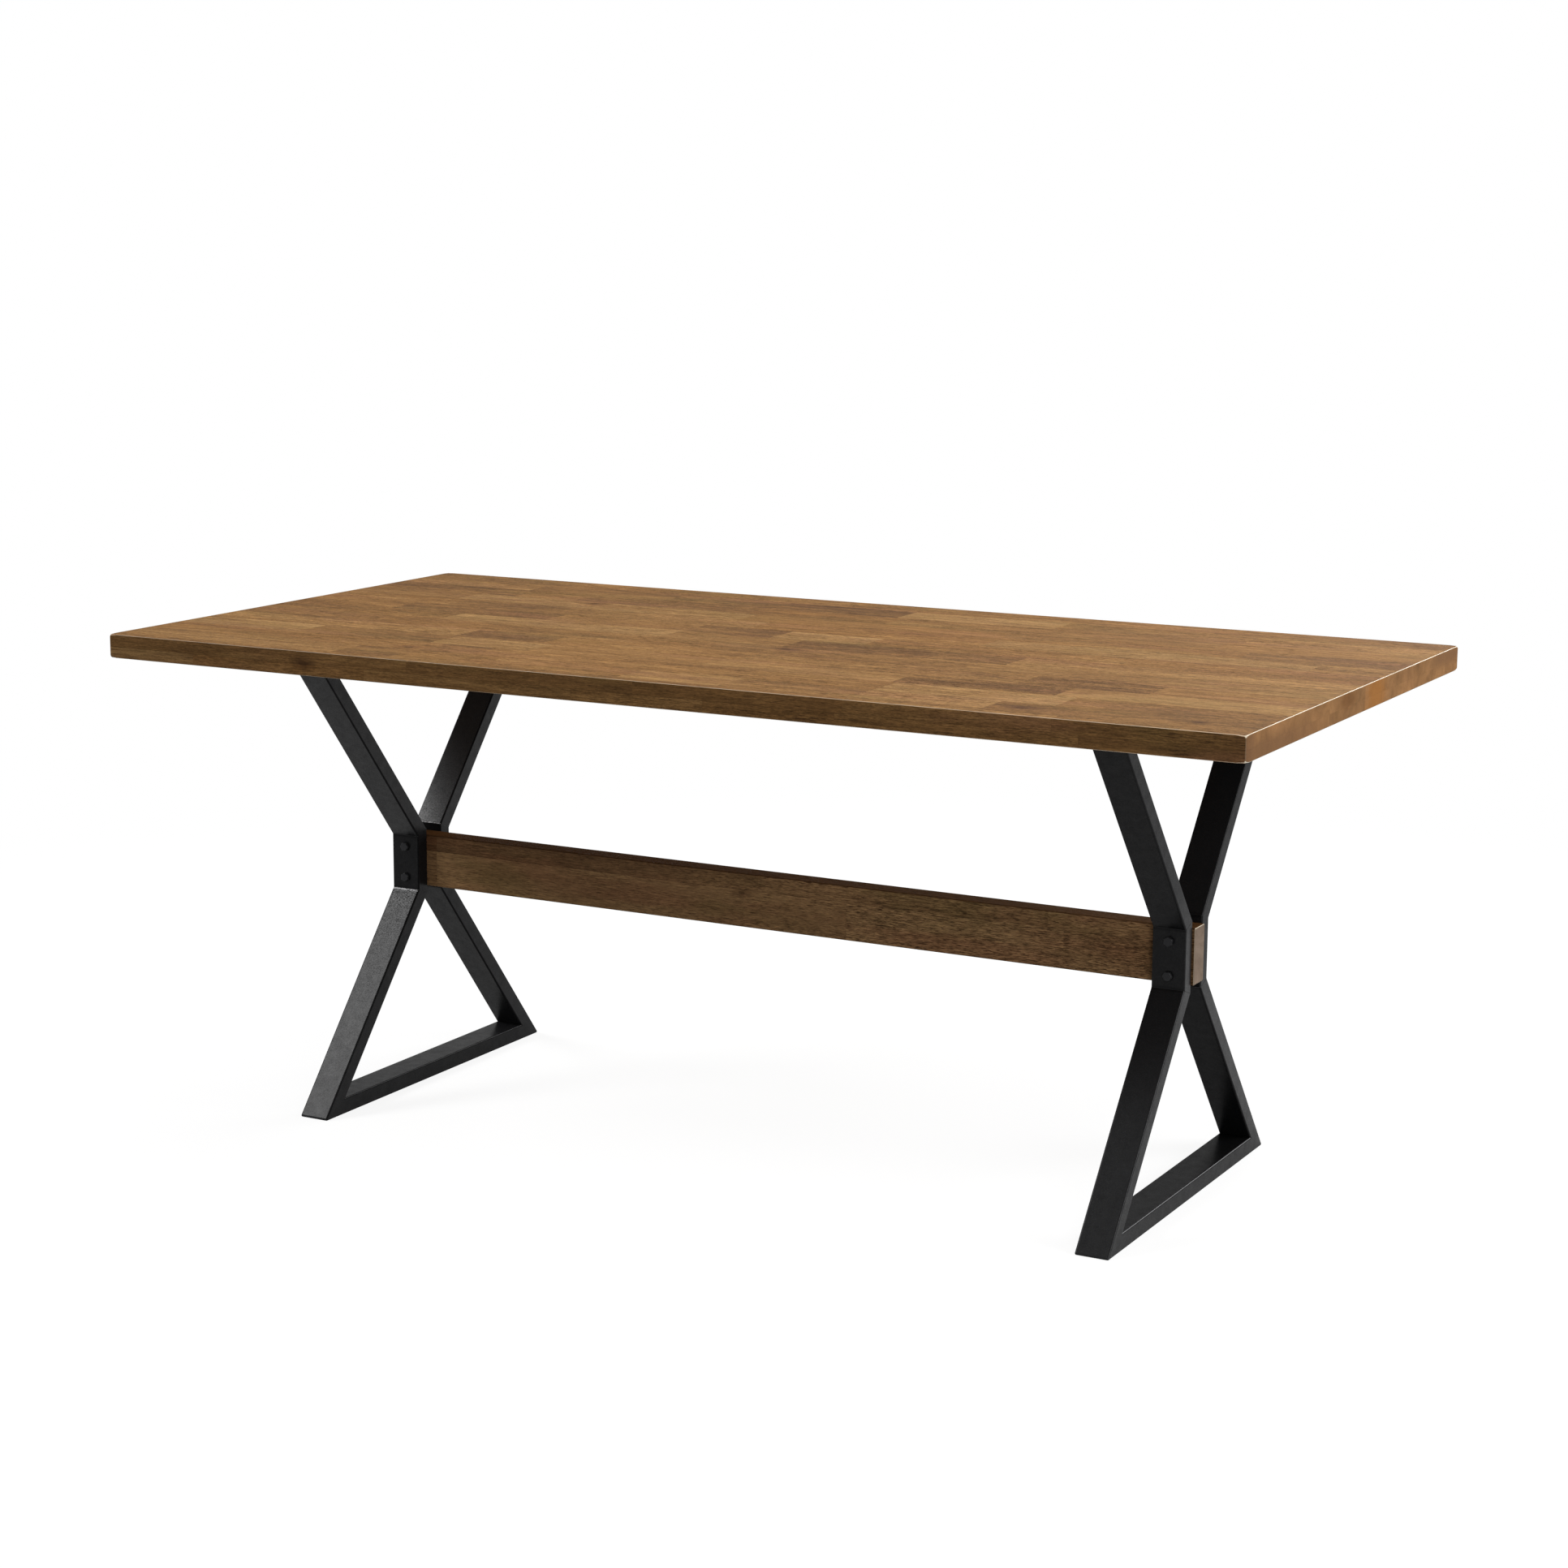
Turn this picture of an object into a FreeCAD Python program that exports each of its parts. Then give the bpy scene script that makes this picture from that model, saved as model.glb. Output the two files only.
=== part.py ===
"""Sawbuck dining table: a glued-up hardwood top on two welded steel X frames.

The frames are joined by a wooden stretcher beam that is clamped between the waist tubes of each X.
Millimetres, +Z up. The origin is on the floor under the middle of the top, +X runs along the table
and the front of the table looks along -Y.
"""

import FreeCAD, Part
import math
import os

Vector = FreeCAD.Vector

# ---------------------------------------------------------------- driving dimensions

# Table top
TABLE_HEIGHT = 760.0
TOP_LENGTH = 1800.0
TOP_WIDTH = 900.0
TOP_THICKNESS = 36.0
TOP_EDGE_CHAMFER = 1.5
TOP_CORNER_ROUND = 4.0

# Rectangular steel tube, its wide side across the leg frame and its narrow side in the frame's plane
TUBE_WIDTH = 50.0
TUBE_DEPTH = 25.0
TUBE_WALL = 1.5
TUBE_CORNER_ROUND = 2.5

# Leg frames
END_OVERHANG = 250.0
FOOT_SPREAD = 606.0
WAIST_HEIGHT = 87.0

# Stretcher beam, clamped between the waist tubes
STRETCHER_THICKNESS = 38.0
STRETCHER_HEIGHT = 83.0
STRETCHER_PROUD = 4.0
STRETCHER_EDGE_ROUND = 2.5

# Mounting plate, welded on top of each leg frame
PLATE_THICKNESS = 3.0
PLATE_FLANGE = 32.0
PLATE_END_MARGIN = 17.0
PLATE_CORNER_CHAMFER = 10.0
PLATE_SCREW_END_MARGIN = 45.0
PLATE_SLOT_TRAVEL = 6.0

# Through bolts of the stretcher
BOLT_DIAMETER = 8.0
BOLT_TAIL_PAST_NUT = 3.9
BOLT_SPACING = 50.0
BOLT_ACROSS_FLATS = 13.0
BOLT_HEAD_HEIGHT = 5.3
BOLT_NUT_HEIGHT = 6.5
BOLT_WASHER_DIAMETER = 16.0
BOLT_WASHER_THICKNESS = 1.6
BOLT_HOLE_CLEARANCE = 0.5
BOLT_WASHER_CLEARANCE = 0.2

# Hex head wood screws that hold the mounting plate to the top
SCREW_DIAMETER = 6.0
SCREW_ENGAGEMENT = 22.0
SCREW_ACROSS_FLATS = 10.0
SCREW_HEAD_HEIGHT = 4.0
SCREW_HOLE_CLEARANCE = 0.5
SCREW_BORE_SPARE_DEPTH = 3.0

# ---------------------------------------------------------------- sizes that follow from them

TOP_UNDERSIDE = TABLE_HEIGHT - TOP_THICKNESS
FRAME_HEIGHT = TOP_UNDERSIDE - PLATE_THICKNESS
WAIST_CENTRE = FRAME_HEIGHT / 2
WAIST_HALF_WIDTH = STRETCHER_THICKNESS / 2 + TUBE_DEPTH
LEG_REACH = TOP_LENGTH / 2 - END_OVERHANG
LEG_SIDES = {"left": -LEG_REACH, "right": LEG_REACH}
BOLT_HEIGHTS = (WAIST_CENTRE - BOLT_SPACING / 2, WAIST_CENTRE + BOLT_SPACING / 2)
BOLT_GRIP = 2 * WAIST_HALF_WIDTH + BOLT_WASHER_THICKNESS + BOLT_NUT_HEIGHT
BOLT_LENGTH = BOLT_GRIP + BOLT_TAIL_PAST_NUT
PLATE_WIDTH = TUBE_WIDTH + 2 * PLATE_FLANGE
PLATE_LENGTH = FOOT_SPREAD + 2 * PLATE_END_MARGIN
SCREW_LENGTH = PLATE_THICKNESS + SCREW_ENGAGEMENT

# Edges that rise less than this count as level
LEVEL_TOLERANCE = 0.001


# ---------------------------------------------------------------- shapes used more than once

def cylinder(diameter, start, along):
    """Round bar from start, as long as the vector along and in its direction."""
    return Part.makeCylinder(diameter / 2, along.Length, start, along)


def ring(outer_diameter, bore_diameter, start, along):
    """Round bar with a coaxial bore, such as a washer."""
    return cylinder(outer_diameter, start, along).cut(cylinder(bore_diameter, start, along))


def hexagon_bar(across_flats, start, along, turn=0.0):
    """Hexagonal bar on the axis along; turn, in degrees, turns it on that axis from corner-up."""
    axis = FreeCAD.Vector(along).normalize()
    side = Vector(1, 0, 0)
    up = side.cross(axis)
    corner_radius = across_flats / math.sqrt(3)
    angles = [math.radians(turn + 60 * step) for step in range(7)]
    corners = [start + (up * math.cos(a) + side * math.sin(a)) * corner_radius for a in angles]
    return Part.Face(Part.makePolygon(corners)).extrude(along)


def is_level(edge):
    """Whether all of an edge lies at one height."""
    return edge.BoundBox.ZLength < LEVEL_TOLERANCE


def rectangle(width, depth):
    """Wire in the XY plane, centred on the origin."""
    signs = ((-1, -1), (1, -1), (1, 1), (-1, 1), (-1, -1))
    return Part.makePolygon([Vector(sx * width / 2, sy * depth / 2, 0) for sx, sy in signs])


def rounded_rectangle(width, depth, corner_round):
    """Rectangle with rounded corners: a smaller one offset by its corner radius."""
    core = rectangle(width - 2 * corner_round, depth - 2 * corner_round)
    return core.makeOffset2D(corner_round)


def block(length, width, height, centre):
    """Plain block centred on centre."""
    return Part.makeBox(length, width, height, centre - Vector(length, width, height) / 2)


# ---------------------------------------------------------------- leg frame

def frame_outline():
    """Outer corners of a leg frame in its (Y, Z) plane, from the front top by the foot to the back top."""
    foot = FOOT_SPREAD / 2
    waist_low = WAIST_CENTRE - WAIST_HEIGHT / 2
    waist_high = WAIST_CENTRE + WAIST_HEIGHT / 2
    front = [
        (-foot, FRAME_HEIGHT),
        (-WAIST_HALF_WIDTH, waist_high),
        (-WAIST_HALF_WIDTH, waist_low),
        (-foot, 0.0),
    ]
    back = [(-y, z) for y, z in reversed(front)]
    return [Vector(0, y, z) for y, z in front + back]


# The tubes of a leg frame, each between two corners of the outline, in its order
TUBE_NAMES = (
    "front_upper_tube",
    "front_waist_tube",
    "front_lower_tube",
    "foot_tube",
    "back_lower_tube",
    "back_waist_tube",
    "back_upper_tube",
)


def mitre_normals(corners):
    """Normal of the saw cut at each corner: halfway between the two runs, and level at the open tops."""
    runs = [(b - a).normalize() for a, b in zip(corners, corners[1:])]
    normals = [Vector(0, 0, -1)]
    normals += [(before + after).normalize() for before, after in zip(runs, runs[1:])]
    return normals + [Vector(0, 0, 1)]


def tube_length(start, end, cut_start, cut_end):
    """Straight rectangular tube whose outer face runs from start to end, sawn off at both cuts."""
    run = (end - start).normalize()
    inward = Vector(1, 0, 0).cross(run)
    spare = run * (2 * TUBE_DEPTH)
    outer = rounded_rectangle(TUBE_WIDTH, TUBE_DEPTH, TUBE_CORNER_ROUND)
    inner = rectangle(TUBE_WIDTH - 2 * TUBE_WALL, TUBE_DEPTH - 2 * TUBE_WALL)
    section = Part.Face(outer).cut(Part.Face(inner))
    section.Placement = FreeCAD.Placement(
        start + inward * (TUBE_DEPTH / 2) - spare,
        FreeCAD.Rotation(Vector(1, 0, 0), inward, run, "XYZ"),
    )
    blank = section.extrude(end - start + spare * 2)
    waste = spare.Length + TUBE_WIDTH
    blank = blank.cut(Part.makeCylinder(waste, waste, start, cut_start * -1))
    return blank.cut(Part.makeCylinder(waste, waste, end, cut_end))


def frame_tubes():
    """The seven mitred tubes of one leg frame, centred on X = 0."""
    corners = frame_outline()
    cuts = mitre_normals(corners)
    tubes = {}
    for index, name in enumerate(TUBE_NAMES):
        tubes[name] = tube_length(corners[index], corners[index + 1], cuts[index], cuts[index + 1])
    drills = Part.makeCompound([bolt_hole(0.0, z) for z in BOLT_HEIGHTS])
    for name in ("front_waist_tube", "back_waist_tube"):
        tubes[name] = tubes[name].cut(drills)
    return tubes


# ---------------------------------------------------------------- stretcher and its bolts

def bolt_hole(x, z):
    """Clearance hole for a stretcher bolt, right through the waist from front to back."""
    reach = WAIST_HALF_WIDTH + TUBE_DEPTH
    diameter = BOLT_DIAMETER + 2 * BOLT_HOLE_CLEARANCE
    return cylinder(diameter, Vector(x, -reach, z), Vector(0, 2 * reach, 0))


def stretcher_beam():
    """Beam with rounded long edges that stands a little proud of both leg frames, drilled for the bolts."""
    length = 2 * (LEG_REACH + TUBE_WIDTH / 2 + STRETCHER_PROUD)
    beam = block(length, STRETCHER_THICKNESS, STRETCHER_HEIGHT, Vector(0, 0, WAIST_CENTRE))
    beam = beam.makeFillet(STRETCHER_EDGE_ROUND, [e for e in beam.Edges if e.BoundBox.XLength > TUBE_WIDTH])
    return beam.cut([bolt_hole(x, z) for x in LEG_SIDES.values() for z in BOLT_HEIGHTS])


def stretcher_bolt(x, z, turn):
    """Hex head bolt, its head on the front waist tube and its shank through to the back."""
    seat = Vector(x, -WAIST_HALF_WIDTH, z)
    head = hexagon_bar(BOLT_ACROSS_FLATS, seat, Vector(0, -BOLT_HEAD_HEIGHT, 0), turn)
    return head.fuse(cylinder(BOLT_DIAMETER, seat, Vector(0, BOLT_LENGTH, 0)))


def stretcher_washer(x, z):
    """Plain washer on the back waist tube."""
    bore = BOLT_DIAMETER + 2 * BOLT_WASHER_CLEARANCE
    start = Vector(x, WAIST_HALF_WIDTH, z)
    return ring(BOLT_WASHER_DIAMETER, bore, start, Vector(0, BOLT_WASHER_THICKNESS, 0))


def stretcher_nut(x, z):
    """Hex nut screwed on the bolt against its washer."""
    start = Vector(x, WAIST_HALF_WIDTH + BOLT_WASHER_THICKNESS, z)
    along = Vector(0, BOLT_NUT_HEIGHT, 0)
    return hexagon_bar(BOLT_ACROSS_FLATS, start, along).cut(cylinder(BOLT_DIAMETER, start, along))


# ---------------------------------------------------------------- mounting plate and its screws

def plate_screw_places():
    """Screw places of a plate centred on X = 0, as (x, y, slot travel); only the back ones are slotted."""
    reach = PLATE_LENGTH / 2 - PLATE_SCREW_END_MARGIN
    x = TUBE_WIDTH / 2 + PLATE_FLANGE / 2
    rows = ((-reach, 0.0), (reach, PLATE_SLOT_TRAVEL))
    return [(side * x, y, travel) for y, travel in rows for side in (-1, 1)]


def screw_slot(x, y, travel):
    """Hole for a plate screw, drawn out along Y by travel so that the top can swell across its grain."""
    diameter = SCREW_DIAMETER + 2 * SCREW_HOLE_CLEARANCE
    up = Vector(0, 0, PLATE_THICKNESS)
    ends = [cylinder(diameter, Vector(x, y + side * travel / 2, FRAME_HEIGHT), up) for side in (-1, 1)]
    if travel == 0.0:
        return ends[0]
    middle = block(diameter, travel, PLATE_THICKNESS, Vector(x, y, FRAME_HEIGHT + PLATE_THICKNESS / 2))
    return middle.multiFuse(ends)


def mounting_plate():
    """Flat plate on the sawn ends of the upper tubes, with flanges for the screws on both sides."""
    centre = Vector(0, 0, FRAME_HEIGHT + PLATE_THICKNESS / 2)
    plate = block(PLATE_WIDTH, PLATE_LENGTH, PLATE_THICKNESS, centre)
    plate = plate.makeChamfer(PLATE_CORNER_CHAMFER, [e for e in plate.Edges if not is_level(e)])
    return plate.cut([screw_slot(*place) for place in plate_screw_places()])


def plate_screw(x, y):
    """Hex head wood screw, driven up through the plate into the top."""
    seat = Vector(x, y, FRAME_HEIGHT)
    head = hexagon_bar(SCREW_ACROSS_FLATS, seat, Vector(0, 0, -SCREW_HEAD_HEIGHT))
    return head.fuse(cylinder(SCREW_DIAMETER, seat, Vector(0, 0, SCREW_LENGTH)))


def plate_screw_bore(x, y):
    """Blind bore in the top for a plate screw, a little deeper than the screw reaches."""
    depth = SCREW_ENGAGEMENT + SCREW_BORE_SPARE_DEPTH
    return cylinder(SCREW_DIAMETER, Vector(x, y, TOP_UNDERSIDE), Vector(0, 0, depth))


# ---------------------------------------------------------------- table top

def table_top(screw_places):
    """Panel with rounded corners and eased edges, bored from below for the plate screws."""
    centre = Vector(0, 0, TABLE_HEIGHT - TOP_THICKNESS / 2)
    panel = block(TOP_LENGTH, TOP_WIDTH, TOP_THICKNESS, centre)
    panel = panel.makeFillet(TOP_CORNER_ROUND, [e for e in panel.Edges if not is_level(e)])
    panel = panel.makeChamfer(TOP_EDGE_CHAMFER, [e for e in panel.Edges if is_level(e)])
    return panel.cut([plate_screw_bore(x, y) for x, y in screw_places])


# ---------------------------------------------------------------- the whole table

# Hex heads are left as the spanner leaves them: some corner-up (0), some flat-up (30 degrees).
# Each leg lists its lower bolt first.
HEAD_TURNS = {"left": (30.0, 0.0), "right": (0.0, 30.0)}


def leg_frames():
    """The welded steel pieces of both leg frames, each a node of its own."""
    pieces = {}
    for side, leg_x in LEG_SIDES.items():
        for name, tube in frame_tubes().items():
            pieces[side + "_" + name] = tube.translated(Vector(leg_x, 0, 0))
        pieces[side + "_mounting_plate"] = mounting_plate().translated(Vector(leg_x, 0, 0))
    return pieces


def fasteners(screw_places):
    """Like fasteners of both legs, one node of separate solids for each kind."""
    bolt_places = [(leg_x, z) for leg_x in LEG_SIDES.values() for z in BOLT_HEIGHTS]
    turns = [turn for side in LEG_SIDES for turn in HEAD_TURNS[side]]
    groups = {
        "stretcher_bolts": [stretcher_bolt(x, z, turn) for (x, z), turn in zip(bolt_places, turns)],
        "stretcher_washers": [stretcher_washer(x, z) for x, z in bolt_places],
        "stretcher_nuts": [stretcher_nut(x, z) for x, z in bolt_places],
        "plate_screws": [plate_screw(x, y) for x, y in screw_places],
    }
    return {name: Part.makeCompound(solids) for name, solids in groups.items()}


def main():
    """Build every piece and write one STEP file for each node."""
    screw_places = [(leg_x + x, y) for leg_x in LEG_SIDES.values() for x, y, _travel in plate_screw_places()]
    pieces = {"table_top": table_top(screw_places), "stretcher_beam": stretcher_beam()}
    pieces.update(leg_frames())
    pieces.update(fasteners(screw_places))
    os.makedirs("parts", exist_ok=True)
    for name, shape in pieces.items():
        shape.exportStep(os.path.join("parts", name + ".step"))
        print(name, len(shape.Solids), round(shape.Volume, 1), shape.isValid())


main()
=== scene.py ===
import functools
import math

import bpy
import numpy as np
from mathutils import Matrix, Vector


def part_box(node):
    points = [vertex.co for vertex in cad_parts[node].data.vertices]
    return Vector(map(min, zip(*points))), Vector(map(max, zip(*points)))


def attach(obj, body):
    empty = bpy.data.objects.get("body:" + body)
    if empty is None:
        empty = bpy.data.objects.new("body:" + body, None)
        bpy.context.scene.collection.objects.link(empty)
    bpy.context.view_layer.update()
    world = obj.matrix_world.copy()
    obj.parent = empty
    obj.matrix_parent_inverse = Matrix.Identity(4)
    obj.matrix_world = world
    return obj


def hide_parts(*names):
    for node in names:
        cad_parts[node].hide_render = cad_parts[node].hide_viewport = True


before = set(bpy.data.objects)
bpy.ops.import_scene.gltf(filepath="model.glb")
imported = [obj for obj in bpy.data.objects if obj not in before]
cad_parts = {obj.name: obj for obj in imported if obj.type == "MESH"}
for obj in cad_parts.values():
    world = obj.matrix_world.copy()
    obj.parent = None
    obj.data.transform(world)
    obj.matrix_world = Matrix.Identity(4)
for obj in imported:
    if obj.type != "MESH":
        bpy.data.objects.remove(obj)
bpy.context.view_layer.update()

bl_info = {
    "name": "Sawbuck Table",
    "version": (1, 0, 0),
    "blender": (4, 5, 0),
    "location": "3D View > Sidebar > Table",
    "description": "Makes a dining table of glued staves on two welded X frames, piece by piece",
    "category": "Add Mesh",
}

LEGS = ("left", "right")
SEED = 41


# ---------------------------------------------------------------- settings


def paint(red, green, blue):
    """A colour as a painter's chart gives it, 0 to 255, in the linear values that shaders take."""
    part = np.array((red, green, blue)) / 255
    return tuple(np.where(part <= 0.04045, part / 12.92, ((part + 0.055) / 1.055) ** 2.4))


def length(description, millimetres):
    return bpy.props.FloatProperty(description=description, default=millimetres / 1000,
                                   unit="LENGTH", subtype="DISTANCE", precision=4)


def share(description, default):
    return bpy.props.FloatProperty(description=description, default=default, subtype="FACTOR", max=4.0)


def watts(description, default):
    return bpy.props.FloatProperty(description=description, default=default, unit="POWER")


def colour(description, *chart):
    return bpy.props.FloatVectorProperty(description=description, default=paint(*chart),
                                         subtype="COLOR", size=3, min=0.0, max=1.0)


class TopSettings(bpy.types.PropertyGroup):
    stave_width: length("Width of one glued stave", 74.3)
    front_strip: length("Width left of the first row of staves", 18)
    layer_height: length("Thickness of the lower of two layers of staves", 17)
    edge_radius: length("Rounding of the arrises", 1.6)
    corner_radius: length("Rounding of the four corners in plan", 4)
    shortest_stave: length("Least length of a stave drawn at random", 190)
    longest_stave: length("Greatest length of a stave drawn at random", 470)


class StretcherSettings(bpy.types.PropertyGroup):
    upper_stave: length("Height of the upper row of staves", 25)
    edge_radius: length("Rounding of the arrises", 2.5)


class LegSettings(bpy.types.PropertyGroup):
    tube_depth: length("The tube's size in the plane of the X", 25)
    wall: length("Wall thickness of the tube", 1.5)
    tube_corner: length("Outside rounding of the tube's corners", 2.5)
    bore_corner: length("Inside rounding of the tube's corners", 1.0)
    waist_height: length("Height of the straight waist on the outside", 87)
    toe_radius: length("Rounding of the ground toes at the floor", 2.4)
    chipped_end: length("Length of chipped coat beside a mitre", 4.5)
    coarse_end: length("Reach of the coarse peel beside a chipped mitre", 80)
    # joining_end is how far the painted light of one flank reaches into the next tube's flank.
    joining_end: length("Reach of one flank's coat into the next", 25)
    # mitre_shade is painted shade: how much darker and duller the coat is painted in the mitres.
    mitre_shade: share("How dull the coat is in the mitres", 0.45)
    seam_radius: length("Half the width of a dressed weld seam", 1.1)
    seam_sink: length("How far a seam's middle lies under the surface", 0.85)
    fillet_radius: length("Radius of the weld under the mounting plate", 2.2)


class FastenerSettings(bpy.types.PropertyGroup):
    bolt_radius: length("Half the bolt's diameter", 4)
    bolt_spacing: length("Height between the two bolts of one waist", 50)
    bolt_flats: length("Width across the flats of bolt head and nut", 13)
    bolt_head: length("Height of the bolt's head", 5.3)
    thread_pitch: length("Distance between two turns of the thread", 1.25)
    screw_radius: length("Half the plate screw's diameter", 3)
    screw_flats: length("Width across the flats of the screw's head", 10)
    screw_head: length("Height of the screw's head", 4)


class WoodSettings(bpy.types.PropertyGroup):
    dark: colour("Stain on the top's darkest staves", 94, 65, 43)
    middle: colour("Stain on most staves of the top", 149, 110, 67)
    pale: colour("Stain on the top's palest staves", 187, 148, 97)
    warm: colour("Orange that some staves lean to", 168, 112, 56)
    end_grain: colour("End grain of the top", 156, 115, 76)
    pore: colour("Stain held in the open pores", 58, 38, 24)
    # The two arris colours below are partly thin stain where the arrises are rubbed and partly a painted
    # highlight; at the ends mostly a painted highlight.
    arris: colour("Rubbed long arrises, where the stain is thin", 240, 212, 180)
    end_arris: colour("Rubbed arrises at the ends", 252, 238, 210)
    beam_dark: colour("Stain on the stretcher's darkest staves", 90, 65, 46)
    beam_middle: colour("Stain on most of the stretcher", 138, 106, 73)
    beam_pale: colour("Stain on the stretcher's palest streaks", 168, 134, 94)
    beam_end: colour("Dusty end grain of the stretcher", 148, 132, 118)
    rosy: colour("Pinkish brown that parts of the top lean to", 156, 108, 80)
    beam_rosy: colour("Reddish brown of parts of the stretcher", 128, 86, 62)
    olive: colour("Greenish brown that parts of the top lean to", 138, 112, 66)
    beam_olive: colour("Greenish brown of parts of the stretcher", 112, 96, 58)
    # Painted shade: the stretcher's upper face, shaded by the top, painted darker and redder.
    beam_top: colour("Dark upper face of the stretcher", 86, 56, 29)
    end_shade: colour("Darker end grain towards the corners", 128, 94, 66)
    end_dark: colour("Dark heartwood in one end", 116, 78, 46)
    roughness: share("Roughness of the satin lacquer", 0.68)
    arris_gloss: share("Reflection of the top's rubbed arrises", 0.9)
    lacquer: share("Reflection of the top's lacquer", 0.03)
    beam_lacquer: share("Reflection of the stretcher's lacquer", 0.01)


class SteelSettings(bpy.types.PropertyGroup):
    coat: colour("The black powder coat", 23, 23, 24)
    speck: colour("Fine grey specks in the coat", 72, 72, 74)
    # Partly painted highlight: the thin pale lines of worn coat on the arrises and the bright lip of the
    # chips.
    rubbed: colour("Coat rubbed through or chipped", 205, 205, 208)
    bolt: colour("Black of the bolts", 39, 39, 41)
    zinc: colour("Zinc plate on nuts, washers and plate screws", 176, 178, 182)
    roughness: share("Roughness of the powder coat's skin", 0.28)
    gloss: share("Reflection of the powder coat's skin", 0.27)


class StageSettings(bpy.types.PropertyGroup):
    camera_place: bpy.props.FloatVectorProperty(
        description="Where the camera stands", default=(2.1865, -4.0386, 1.4071), subtype="TRANSLATION",
        unit="LENGTH",
    )
    camera_turn: bpy.props.FloatVectorProperty(
        description="How the camera is turned", subtype="EULER", unit="ROTATION",
        default=[math.radians(angle) for angle in (79.7659, -0.1112, 29.3514)],
    )
    camera_lens: bpy.props.FloatProperty(
        description="Focal length on a 36 mm wide sensor", default=71.387, unit="CAMERA"
    )
    camera_shift: bpy.props.FloatVectorProperty(
        description="Framing shift, as a share of the picture's width", default=(0.03568, -0.01548), size=2
    )
    floor: colour("The pale floor, as the object's own light sees it", 150, 150, 150)
    fill: share("Level of the soft light from all round", 0.2)
    overhead: watts("Overhead soft box", 18)
    key: watts("Soft box at the right end", 66)
    front: watts("Soft box high at the front left", 262)
    low: watts("Soft box low at the front right", 56)
    back: watts("Weak soft box behind", 40)


SETTINGS = {
    "table_top": TopSettings,
    "table_stretcher": StretcherSettings,
    "table_legs": LegSettings,
    "table_fasteners": FastenerSettings,
    "table_wood": WoodSettings,
    "table_steel": SteelSettings,
    "table_stage": StageSettings,
}


# ---------------------------------------------------------------- mesh maths

AROUND = 48  # points round a bolt, nut, washer or screw
ROUND = 1.0  # a width across flats that cuts nothing off: the part is round there
LEAD = 0.0006  # a grid line this far inside a rounding keeps the flat flat
SHARP_ANGLE = math.radians(32)


def grid_faces(rows, columns, wrap_rows=False):
    """Quads of a grid whose points are numbered row by row and whose columns close on themselves.
    Face (i, j) joins points (i, j), (i, j+1), (i+1, j+1) and (i+1, j)."""
    number = np.arange(rows * columns).reshape(rows, columns)
    here = number if wrap_rows else number[:-1]
    after = np.roll(number, -1, 0) if wrap_rows else number[1:]
    return np.stack((here, np.roll(here, -1, 1), np.roll(after, -1, 1), after), -1).reshape(-1, 4)


def facing_out(points, faces):
    """The shell with its quads turned over if its volume comes out negative. Volume is a sixth of the sum of
    a . (b x c) over the two triangles of every quad. A triangle is a quad whose last two points are one."""
    corner = points[faces]
    halves = ((0, 1, 2), (0, 2, 3))
    volume = sum(
        np.einsum("ij,ij->", corner[:, a], np.cross(corner[:, b], corner[:, c])) for a, b, c in halves
    )
    return points, faces if volume > 0 else faces[:, [1, 0, 3, 2]]


def joined(shells):
    """Several (points, faces) shells as one: later faces count on from the earlier points."""
    starts = np.cumsum([0, *(len(points) for points, _ in shells)])
    return (np.concatenate([points for points, _ in shells]),
            np.concatenate([faces + start for (_, faces), start in zip(shells, starts)]))


def rim_stations(half, corner, edge, seams=(), steps=4):
    """Grid lines across a box of half size `half`: lines at the seams, and towards each end those that the
    rounding needs, at corner - edge + edge * tan(angle) for angles from 0 to 45 degrees, with one more line
    inside them."""
    slope = edge * np.tan(np.linspace(0, math.pi / 4, steps + 1))
    rim = np.concatenate(([-LEAD, 0.0], (corner - edge) * np.array((0.5, 1.0)), corner - edge + slope))
    ends = half - corner + rim
    inner = [s for s in seams if abs(s) < half - corner - LEAD]
    return np.unique(np.round(np.concatenate((-ends, inner, ends)), 7))


def box_grid(xs, ys, zs):
    """The points and quads on the outside of a block of grid lines. Points are the outer points of the
    lattice (xs, ys, zs); each of the six sides is a grid on two of its parameters."""
    counts = (len(xs), len(ys), len(zs))
    i, j, k = np.indices(counts)
    outer = np.any([(n == 0) | (n == count - 1) for n, count in zip((i, j, k), counts)], axis=0)
    number = np.full(counts, -1)
    number[outer] = np.arange(outer.sum())
    points = np.stack((xs[i[outer]], ys[j[outer]], zs[k[outer]]), -1)
    quads = []
    for axis in range(3):
        for end, low_end in ((0, True), (-1, False)):
            side = np.take(number, end, axis)
            ring = (side[:-1, :-1], side[1:, :-1], side[1:, 1:], side[:-1, 1:])
            quads.append(np.stack(ring[::-1] if low_end != (axis == 1) else ring, -1).reshape(-1, 4))
    return points, np.concatenate(quads)


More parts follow.
